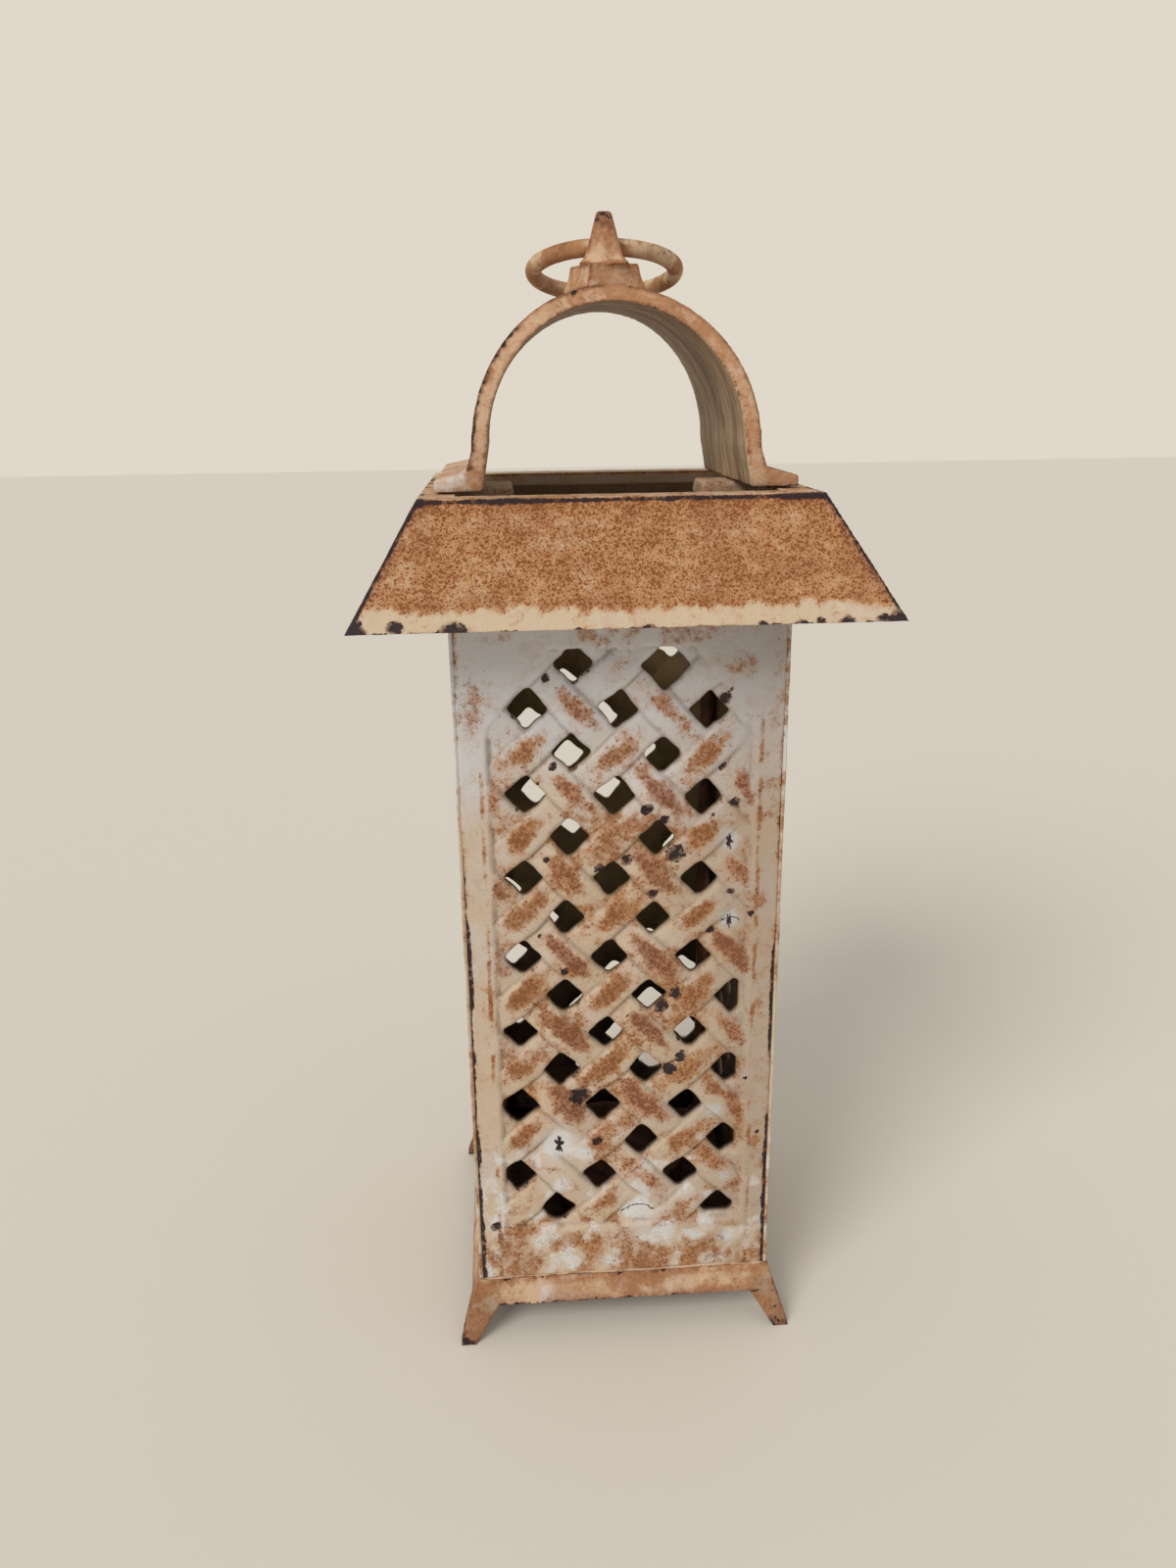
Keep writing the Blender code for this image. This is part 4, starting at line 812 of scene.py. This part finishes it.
def dress_panel(mesh, shape, front):
    """Wear and painted shade of a panel, set on its vertices while it still faces -Y."""
    u, y, v = mesh_points(mesh).T
    p = shape.points(u, v)
    window = window_distance(u, v)
    inside = ease(-window, -1.0, 1.5)
    strength = ease(206.0 - v, 0, 60) * ease(v - 20.0, 0, 44)
    sill = clouds(p * (1, 0.45, 1), 5.0, 14)
    ragged = clouds(p * (1, 0.5, 1), 6.0, 16)
    mist = clouds(np.column_stack([u + 0.6 * v, v - 0.6 * u, p[:, 2]]), 6.5, 20, 4)
    side = shape.end - np.abs(u)
    inner = y > -INNER_HALF - 0.2

    rust, red, bare = crossing_wear(shape, u, v)
    rust = inside * rust * (0.3 + 0.75 * strength) * (0.35 + 1.2 * clouds(p, 4.0, 11))
    rust = rust + inside * (0.22 + 0.6 * patches(p, 8.0, 12, 0.38, 0.7)) * strength
    rust = rust + (1 - inside) * (0.55 * patches(p, 8.0, 13, 0.62, 0.78) + 0.14 * ease(170.0 - v, 0, 60)
                                  + 0.7 * ease(sill, 0.38, 0.68) * ease(35.0 - v, 0, 6.0))
    rust = rust + 0.7 * ease(4.0 - np.abs(v - 34.5), 0, 3.0) * patches(p, 6.0, 24, 0.42, 0.62) * (window < 3)
    rust = most(rust, 0.85 * spot(u, v, (-36.3, 186.0), 6.0, 1.6, 1.4) * front)
    line = np.abs(np.abs(u) - 35.1 + 0.3 * (clouds(p, 9.0, 21) - 0.5))
    dashes = patches(p * (1, 0.35, 1), 3.0, 15, 0.42, 0.62) * (v < 176 + 6 * np.sign(u))
    rust = rust + 0.9 * ease(0.75 - line, 0, 0.6) * dashes
    rust = most(rust, 0.7 * ease(1.6 - side, 0, 1.4) * ease(ragged, 0.3, 0.6))
    rust = np.where(inner, 0.2, rust)

    width = 0.1 + 0.9 * ease(ragged, 0.42, 0.75)
    width = width + np.where(u > 0, 0.8 * ease(75.0 - v, 0, 50), 0.4 * ease(150.0 - v, 0, 60))
    width = width * (0.2 + 0.8 * ease(170.0 - v, 0, 60))
    rng = np.random.default_rng(shape.seed + 50)
    bare += FRONT_CHIPS if front else []
    bare += [((rng.uniform(-38, 38), rng.uniform(24, 205)), rng.uniform(0.35, 0.8)) for _ in range(7)]
    chip = most(np.where(side < 2.5, 0.8 * ease(width - side, -0.5, 0.5), 0.0) * (not shape.nosed),
                0.42 * ease(1.1 - shape.hole_distance(u, v), 0, 1.1) * patches(p, 4.0, 17, 0.55, 0.75),
                1.1 * spots(u, v, bare, 1.6, 1.25, 0.8))

    white = most(0.66 * ease(92 - v, 0, 40) * ease(mist, 0.44, 0.7) * ease(38.0 - u, -2, 10),
                 0.66 * ease(33.0 - v, 0, 3.0) * ease(0.64 - sill, 0, 0.3),
                 0.6 * ease(58.0 - v, 0, 14) * ease(u - 31.0, 0, 4) * ease(mist, 0.3, 0.6))
    rust = rust * (1 - 0.35 * ease(white, 0.3, 0.7))
    white = most(white, 0.4 * ease(v, 95, 190) * patches(p, 9.0, 22, 0.5, 0.7))
    # Painted shade: darker at the foot of each step where the strands cross, as shade in the creases
    dirt = 0.65 * ease(shape.hollow(u, v), 0.12, 0.5) * (0.5 + 0.6 * clouds(p, 5.0, 23))
    if front:
        white = most(white, 0.75 * spot(u, v, (-36.0, 36.0), 11.0, 1.6, 1.57))
        # Painted shade: the front darkens towards its right side, less where it is white
        dirt = most(dirt, (0.1 + 0.32 * ease(u, 0, 38)) * (1 - 0.5 * ease(white, 0.3, 0.6)))
        for places, whiteness, reach, cleared, soft in FRONT_PALE:
            white = most(white, whiteness * spots(u, v, places, 1.0))
            for at, radius in places:
                rust = rust * (1 - cleared * ease(spot(u, v, at, radius * reach), 0, soft))
    # Towards the top the paint turns cooler and greyer: a painted tint of the cool shade under the eave;
    # clouds vary it at random
    cool = 0.1 + ease(v, 140, 196) + 0.7 * (clouds(p, 16.0, 19) - 0.5)
    # Painted shade on the panel's back face and on the deeper part of its hole walls
    dress(mesh, rust=rust, red=red, chip=np.where(inner, 0.0, chip), cool=cool, white=white, dirt=dirt,
          dark=ease(y, -39.6, -38.2))


FRONT = Panel(1, False, left_out=FLASHED, wider={(1, 7): 4.6, (-2, -4): 4.15}, right_rim=31.5)
PANELS = (
    ("front", "panel_front", "lantern", 0, FRONT, 0.55, FRONT_PAINT),
    ("left", "panel_left", "lantern", -90, Panel(2, True), 0.85, PANEL_PAINT),
    ("right", "panel_right", "lantern", 90, Panel(3, True), 0.85, PANEL_PAINT),
    ("back", "door", "door_panel", 180, Panel(4, False, DOOR_FOOT, DOOR_TOP), 0.85, PANEL_PAINT),
)
for side, node, body, turn, shape, step, paint in PANELS:
    lattice = panel_mesh(f"lattice_{side}", shape, step)
    dress_panel(lattice, shape, side == "front")
    lattice.transform(Matrix.Rotation(math.radians(turn), 4, "Z"))
    new_piece(f"lattice_{side}", lattice, body, "panel_paint", paint, node)


# Base and the bead of paint over it

def cast_base():
    mesh = recast("base_casting", 0.65, 3)
    p = roughen(mesh, 0.12, 0.12, 60)
    x, y, z = p.T
    edge = edge_distance(p, "base_casting")
    outside = most(np.abs(x), np.abs(y)) > 41.0
    low = ease(15.0 - z, 0, 7.0)
    rim = ease(2.8 - edge, 0, 2.8) * patches(p, 5.0, 67, 0.35, 0.6)
    feet = ease(np.minimum(np.abs(x), np.abs(y)) - 33.0, 0, 6) * ease(17.0 - z, 0, 5)
    seam = ease(z, 15.0, 17.6) * patches(p, 7.0, 64, 0.4, 0.6)
    lip = ease(1.3 - np.abs(z - 10.4), 0, 1.0) * patches(p, 9.0, 65, 0.45, 0.6)
    rust = (0.26 + 0.6 * patches(p, 9.0, 61, 0.38, 0.72) + 0.35 * seam + 0.45 * ease(11.0 - z, 0, 8)
            + 0.7 * rim + 0.35 * feet)
    chip = most((0.4 + 0.1 * low) * ease(1.4 - edge, 0, 1.4) * patches(p, 5.0, 62, 0.4, 0.6),
                (0.2 + 0.22 * patches(p, 3.2, 68, 0.45, 0.65)) * low * outside,
                0.5 * ease(5.0 - z, 0, 4.0) * patches(p, 4.0, 66, 0.2, 0.6), 0.3 * seam, 0.42 * lip)
    # Darker towards the lower ends of the feet; painted shade on all but the base's outer sides
    dress(mesh, rust=rust, chip=chip, red=most(0.7 * ease(12.0 - z, 0, 10), 0.95 * rim),
          dirt=0.6 * feet, white=0.5 * patches(p, 8.0, 63, 0.5, 0.7),
          dark=np.where(outside & (z < BASE_TOP + 0.05), 0.0, 0.85))
    new_piece("base_cast", mesh, "lantern", "base_paint", BASE_PAINT, "base_casting")


def bead(name, turn, seed):
    """A bead of old paint that fills the joint between a fixed panel and the base."""
    steps, around, half = 220, 8, 40.9
    along = np.linspace(-half, half, steps)
    line = np.column_stack([along, np.full(steps, 7.0 * seed), np.zeros(steps)])
    rise = PANEL_FOOT - 0.05 + 0.9 * (clouds(line, 9.0, seed) - 0.5)
    thick = 0.42 + 0.3 * (clouds(line, 4.0, seed + 1) - 0.5)
    thick = thick * np.clip((half - np.abs(along)) / 1.5, 0.15, 1)
    places = [(along[k], -BODY_HALF + 0.12 + 0.7 * thick[k] * math.sin(a), rise[k] + thick[k] * math.cos(a))
              for k in range(steps) for a in np.arange(around) * 2 * math.pi / around]
    mesh = closed_mesh((places, tube_faces(steps, around)))
    p = mesh_points(mesh)
    crack = ease(0.22 - np.abs(p[:, 2] - np.interp(p[:, 0], along, rise) + 0.1), 0, 0.2)
    dress(mesh, rust=0.25 + 0.5 * patches(p, 6.0, seed + 2, 0.45, 0.7), white=0.35,
          chip=0.62 * crack * patches(p, 6.0, seed + 3, 0.42, 0.55))
    mesh.transform(Matrix.Rotation(math.radians(turn), 4, "Z"))
    new_piece(name, mesh, "lantern", "base_paint", BASE_PAINT)


# Roof, and the chips on its front slope: (across, height), radius, in mm

ROOF_CHIPS = [((-39.3, 209.4), 2.1), ((-52.1, 210.6), 1.3), ((29.5, 209.6), 0.7), ((38.4, 209.4), 0.9),
              ((42.8, 209.8), 0.8), ((49.0, 209.5), 1.2), ((-11.8, 209.2), 0.6), ((4.0, 209.6), 0.5),
              ((-46.0, 236.0), 1.2), ((57.0, 210.0), 1.0)]


def cast_roof():
    mesh = recast("roof_casting", 0.7, 2)
    p = roughen(mesh, 0.10, 0.12, 70)
    x, y, z = p.T
    outer = most(np.abs(x), np.abs(y))
    up = z - EAVE_HEIGHT
    skin = outer - EAVE_HALF + up * (EAVE_HALF - RIM_HALF) / (RIM_HEIGHT - EAVE_HEIGHT)
    slope = (skin > -1.2) & (z < 236.3)
    within = (skin < -1.2) & (z < 235.9)
    rim = z > 236.3
    lug = (np.abs(y) < 12.0) & (np.abs(x) < 36.5) & (z > 226.0)
    hips = segment_distance(p, [[(a * EAVE_HALF, b * EAVE_HALF, EAVE_HEIGHT),
                                 (a * RIM_HALF, b * RIM_HALF, RIM_HEIGHT)] for a in (-1, 1) for b in (-1, 1)])
    wander = noise(p, 6.0, 76)
    line = np.where(outer > 45.6, np.abs(z - 235.9), 9.0)
    corner = 9.0 - np.hypot(np.abs(x) - EAVE_HALF, np.abs(y) - EAVE_HALF) - up
    brim = ease(1.0 - up, 0, 0.9) * patches(p, 6.0, 73, 0.3, 0.55)
    chip = most(0.95 * ease(0.95 + 0.9 * wander - hips, 0, 1.1),
                0.85 * ease(0.66 + 0.5 * wander - line, 0, 0.8),
                0.9 * ease(corner + 3.0 * (wander - 0.5), 0, 5) * (z < 219), 0.48 * brim * slope,
                1.1 * spots(x, z, ROOF_CHIPS, 1.5, 1.5) * (y < -45))
    chip = np.where(rim & (outer < 44.0), 0.3 * patches(p, 4.0, 79, 0.5, 0.7), chip)

    drips = clouds(p * (1, 1, 0.25), 2.4, 71)
    band = ease(z + 3.6 * (drips - 0.5) + 2.0 * (noise(p, 14.0, 75) - 0.5), 212.3, 214.6)
    streak = clouds(p * (1, 1, 0.3), 5.0, 77)
    rust = 0.08 + (0.98 + 0.16 * (clouds(p, 7.0, 74) - 0.5) + 0.35 * (streak - 0.5)) * band
    rust = rust + 0.3 * ease(3.5 - hips, 0, 3.5) + 0.35 * ease(z, 231.0, 236.0) + 0.25 * brim
    rust = np.where(rim, 0.55 + 0.5 * (clouds(p * (0.2, 1, 1), 3.0, 78) - 0.3), rust)
    rust = np.where(rim & ((outer < 39.0) | (y > 30.0)), 0.1, rust)
    rust = np.where(lug, 0.55, np.where(within, 0.2, rust))
    # Painted shade on the roof's inner side, painted lighter towards the opening at the top; that side is
    # also a little darker all over
    lit_near_opening = ease(z + 2.0 * (clouds(p, 6.0, 80) - 0.5), 226.5, 233.5)
    dress(mesh, rust=rust, red=np.where(lug, 0.8, ease(3.2 - hips, 0, 2.4) * slope),
          chip=np.where(within | lug, 0.0, chip), dirt=np.where(within, 0.3, 0.0),
          dark=np.where(within & ~lug, 1.0 - 0.95 * lit_near_opening, 0.0))
    new_piece("roof_cast", mesh, "lantern", "roof_paint", ROOF_PAINT, "roof_casting")


# Handle, a smooth arch in place of the CAD node's facets, and its chips: (across, height), radius, in mm

HANDLE_CHIPS = (((35.5, 260.0), 1.7), ((-9.0, 281.5), 0.8), ((33.0, 269.0), 0.7))
ARCH_STEPS = 80


def strap_half(z):
    """Half the strap's depth at a height."""
    share = np.clip((z - HANDLE_FOOT) / (CROWN_TOP - HANDLE_FOOT), 0.0, 1.0)
    return (FOOT_DEPTH - (FOOT_DEPTH - CROWN_DEPTH) * share ** 3) / 2


def arch(grow):
    return [((SPAN_HALF + grow) * math.cos(math.pi * k / ARCH_STEPS),
             ARCH_FOOT + (ARCH_RISE + grow) * math.sin(math.pi * k / ARCH_STEPS))
            for k in range(ARCH_STEPS + 1)]


def strap_shape():
    """Vertices and faces of the strap, whose two flat sides are cut into convex faces."""
    foot = [(LEG_IN, HANDLE_FOOT), (TAB_OUT, HANDLE_FOOT), (TAB_OUT, HANDLE_FOOT + 2.8),
            (LEG_IN + STRAP, HANDLE_FOOT + 4.4)]
    outline = foot + arch(STRAP) + [(-x, z) for x, z in reversed(foot)] + arch(0.0)[::-1]
    count, first = len(outline), len(foot)
    last = first + ARCH_STEPS
    bands = [(first + k, first + k + 1, count - 2 - k, count - 1 - k) for k in range(ARCH_STEPS)]
    bands += [(0, 1, 2, 3, first, count - 1), tuple(range(last, last + 6))]
    far_bands = [tuple(count + number for number in reversed(face)) for face in bands]
    places = [(x, side * strap_half(z), z) for side in (-1, 1) for x, z in outline]
    return places, side_faces(2, count) + bands + far_bands


def cast_handle():
    mesh = recast(closed_mesh(strap_shape()), 0.6, 2)
    p = roughen(mesh, 0.10, 0.10, 80)
    x, y, z = p.T
    lift = most(z - ARCH_FOOT, 0)
    bow = np.hypot(x / (SPAN_HALF + STRAP / 2), lift / (ARCH_RISE + STRAP / 2))
    radial = np.where(z > ARCH_FOOT, (bow - 1) * 32.4, np.abs(x) - 33.1)
    on_arch = z > HANDLE_FOOT + 5.0
    face_edge = np.abs(np.abs(y) - strap_half(z))
    outer_edge = np.hypot(face_edge, np.minimum(radial - STRAP / 2, 0))
    inner_edge = np.hypot(face_edge, most(radial + STRAP / 2, 0))
    beside = np.where(on_arch, np.minimum(outer_edge, inner_edge), 3.0)
    patchy = clouds(p, 7.0, 82)
    chip = most(0.42 * ease(0.4 + 1.4 * patchy - beside, -0.4, 0.9) * ease(patchy, 0.4, 0.6),
                0.5 * ease(2.3 - outer_edge, -0.2, 2.0) * ease(-x, 14, 26) * on_arch,
                0.42 * ease(1.5 - outer_edge, -0.2, 1.4) * ease(x, 14, 26) * on_arch,
                0.36 * ease(1.2 - inner_edge, -0.2, 1.2) * on_arch,
                0.44 * ease(radial, 0.4, 1.8) * ease(z, 272, 279) * ease(patchy, 0.25, 0.5),
                spots(x, z, HANDLE_CHIPS, 1.5, 1.3, 1.2) * (y < -15),
                0.55 * ease(HANDLE_FOOT + 1.2 - z, 0, 1.2) * patches(p, 3.0, 84, 0.4, 0.6))
    rust = 0.34 + 0.3 * patches(p, 8.0, 81, 0.42, 0.75) + 0.6 * ease(0.9 - beside, -0.4, 0.9)
    rust = rust + 0.4 * ease(-x, 12, 26) * ease(10.0 - np.abs(z - 264.0), 0, 8.0)
    rust = rust + 0.4 * ease(z, 266, 279) + 0.4 * ease(z, 276, 283) * ease(radial, 0.0, 2.0)
    rust = rust + 0.75 * ease(x, 34.0, 37.0) * ~on_arch + 0.22 * np.clip(x / 26, -1, 1) * on_arch
    normals = vertex_rows(mesh, "normal")
    inward = -(normals[:, 0] * x + normals[:, 2] * lift) / np.hypot(x, lift)
    under = (inward > 0.6) & (z > HANDLE_FOOT + 0.4)
    dress(mesh, rust=np.where(under, 0.1, rust), chip=np.where(under, 0.5 * chip, chip),
          red=0.6 * ease(1.4 - beside, 0, 1.4), grain=under,
          white=0.6 * patches(p, 5.0, 83, 0.45, 0.65) * (z < HANDLE_FOOT + 5))
    new_piece("handle_cast", mesh, "lantern", "handle_paint", HANDLE_PAINT, "arch_handle")


# Finial, whose plinth is a little wider at its foot than the CAD node's

def cast_finial():
    mesh = recast("finial", 0.3, 2)
    p = roughen(mesh, 0.05, 0.06, 90)
    z = p[:, 2]
    flare = 0.9 * ease(CROWN_TOP + 3.5 - z, 0, 3.5) * (z > CROWN_TOP - 0.6)
    set_points(mesh, p + np.sign(p) * (1, 1, 0) * flare[:, None] * ease(np.abs(p), 4.0, 6.5))
    p = mesh_points(mesh)
    z = p[:, 2]
    edge = edge_distance(p, "finial", 40)
    rust = 0.35 + 0.35 * patches(p, 5.0, 91, 0.35, 0.7) + 0.6 * ease(z, 290, 299)
    chip = most(0.42 * ease(1.2 - edge, 0, 1.2) * patches(p, 4.0, 92, 0.3, 0.5),
                0.46 * ease(z + 1.5 * clouds(p, 3.0, 93), 293.0, 301))
    dress(mesh, rust=rust + 0.8 * ease(1.3 - edge, 0, 1.3), red=0.6 * ease(z, 286, 297), chip=chip)
    new_piece("finial_cast", mesh, "lantern", "handle_paint", HANDLE_PAINT, "finial")


# Hanging ring, smooth where the CAD node has facets

def wire_ring(rings=128, around=20):
    places = []
    for k in range(rings):
        for j in range(around):
            a, b = 2 * math.pi * k / rings, 2 * math.pi * j / around
            radius = RING_MAJOR + WIRE * math.cos(b)
            y, z = turned(radius * math.sin(a) + RING_MAJOR, WIRE * math.sin(b), RING_TILT)
            x, y = turned(radius * math.cos(a), y, RING_TURN)
            places.append((x, y, RING_HEIGHT + z))
    mesh = closed_mesh((places, side_faces(rings, around, closed=True)))
    p = roughen(mesh, 0.10, 0.06, 95)
    dress(mesh, rust=0.3 + 0.7 * patches(p, 7.0, 96, 0.4, 0.65) + 0.3 * ease(-p[:, 0], 0, 12), red=0.3,
          chip=0.3 * patches(p, 5.0, 97, 0.55, 0.75), white=0.3 * patches(p, 7.0, 98, 0.5, 0.7))
    new_piece("ring_wire", mesh, "ring", "ring_paint", RING_PAINT, "hanging_ring")


cast_base()
for side, turn, seed in (("front", 0, 201), ("left", -90, 211), ("right", 90, 221)):
    bead(f"paint_bead_{side}", turn, seed)
cast_roof()
cast_handle()
cast_finial()
wire_ring()


# Hinge knuckles of the right panel and the door

def block(low, high):
    (x0, y0, z0), (x1, y1, z1) = low, high
    around = (x0, y0), (x1, y0), (x1, y1), (x0, y1)
    return [(x, y, z) for z in (z0, z1) for x, y in around], tube_faces(2, 4)


def barrel(centre, radius, foot, top, steps=32):
    places = [(centre[0] + radius * math.cos(a), centre[1] + radius * math.sin(a), z)
              for z in (foot, top) for a in np.arange(steps) * 2 * math.pi / steps]
    return places, tube_faces(2, steps)


for number, middle in enumerate(HINGE_HEIGHTS):
    for level in range(3):
        foot = middle + (level - 1.5) * KNUCKLE_STEP + (KNUCKLE_STEP - KNUCKLE_HIGH) / 2
        top = foot + KNUCKLE_HIGH
        if level == 1:
            plate, body = block((34.6, 41.2, foot), (41.4, 44.2, top)), "door_panel"
        else:
            plate, body = block((41.2, 33.6, foot), (44.2, 44.6, top)), "lantern"
        knuckle = recast(closed_mesh(plate, barrel(HINGE, KNUCKLE_RADIUS, foot, top)), 0.3, 3)
        p = mesh_points(knuckle)
        dress(knuckle, rust=0.3 + 0.6 * patches(p, 4.0, 101, 0.35, 0.7), cool=0.3,
              chip=0.55 * patches(p, 3.0, 102, 0.5, 0.7))
        new_piece(f"knuckle_{number}_{level}", knuckle, body, "panel_paint", PANEL_PAINT)


# Latch and cup, and the nodes that stay as they are

for node, body, voxel in (("latch_knob", "latch", 0.25), ("latch_tongue", "latch", 0.25),
                          ("candle_cup", "lantern", 0.45)):
    new_piece(f"{node}_cast", recast(node, voxel, 3), body, "dark_iron", DARK_IRON, node)

for name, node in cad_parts.items():
    if node.hide_render:
        continue
    configure(node.modifiers.new("bevel", "BEVEL"), width=(0.3 if name == "top_plate" else 0.2) * MM,
              segments=2, angle_limit=math.radians(35))
    for held in node.material_slots:
        held.material = TOP_PAINT if name == "top_plate" else DARK_IRON


# Floor

def plain_surface(name, colour):
    g = Graph(name)
    g.surface("Base Color", g.mix(g.times(g.noise(400.0, 2.0), 0.06), colour, srgb(200, 194, 184)))
    g.surface("Roughness", 0.9)
    g.surface("Specular IOR Level", 0.1)
    return g.material


floor_mesh = bpy.data.meshes.new("floor")
floor_mesh.from_pydata([(-4, -4, 0), (4, -4, 0), (4, 4, 0), (-4, 4, 0)], [], [(0, 1, 2, 3)])
floor_mesh.materials.append(plain_surface("floor_plain", srgb(226, 219, 207)))
floor = add_object("floor", floor_mesh)

# Light: an even sky, which the camera and reflections see as a pale backdrop, and a soft sun

world = bpy.data.worlds.new("studio")
bpy.context.scene.world = world
world.use_nodes = True
sky = world.node_tree
lighting = sky.nodes["Background"]
seen = sky.nodes.new("ShaderNodeBackground")
for shine, colour, strength in ((lighting, srgb(240, 238, 234), 0.65), (seen, srgb(224, 216, 202), 1.0)):
    shine.inputs["Color"].default_value = colour
    shine.inputs["Strength"].default_value = strength
rays = sky.nodes.new("ShaderNodeLightPath")
shown = sky.nodes.new("ShaderNodeMixShader")
either = rays.outputs["Is Camera Ray"]
for kind in ("Is Glossy Ray", "Is Transmission Ray"):
    joined = sky.nodes.new("ShaderNodeMath")
    joined.operation = "MAXIMUM"
    sky.links.new(either, joined.inputs[0])
    sky.links.new(rays.outputs[kind], joined.inputs[1])
    either = joined.outputs[0]
for number, source in enumerate((either, lighting.outputs[0], seen.outputs[0])):
    sky.links.new(source, shown.inputs[number])
sky.links.new(shown.outputs[0], sky.nodes["World Output"].inputs["Surface"])

sun_data = bpy.data.lights.new("key", "SUN")
configure(sun_data, energy=1.6, angle=math.radians(28), color=(1.0, 0.985, 0.96))
sun = add_object("key", sun_data)
sun.location = (-0.9, -1.1, 1.1)
sun.rotation_mode = "QUATERNION"
sun.rotation_quaternion = (-sun.location).to_track_quat("-Z", "Y")

# Camera: its place in metres, and its turns in radians

CAMERA_PLACE = (-0.02796, -0.32311, 0.25968)
CAMERA_YAW, CAMERA_DIP, CAMERA_ROLL = -0.0687, 0.3197, -0.0130
camera_data = bpy.data.cameras.new("camera")
configure(camera_data, sensor_fit="VERTICAL", sensor_height=36.0, lens=27.37, clip_start=0.01, clip_end=50.0)
camera = add_object("camera", camera_data)
camera.matrix_world = (Matrix.Translation(CAMERA_PLACE) @ Matrix.Rotation(CAMERA_YAW, 4, "Z")
                       @ Matrix.Rotation(math.pi / 2 - CAMERA_DIP, 4, "X")
                       @ Matrix.Rotation(CAMERA_ROLL, 4, "Z"))
bpy.context.scene.camera = camera
bpy.context.scene.view_settings.view_transform = "Standard"
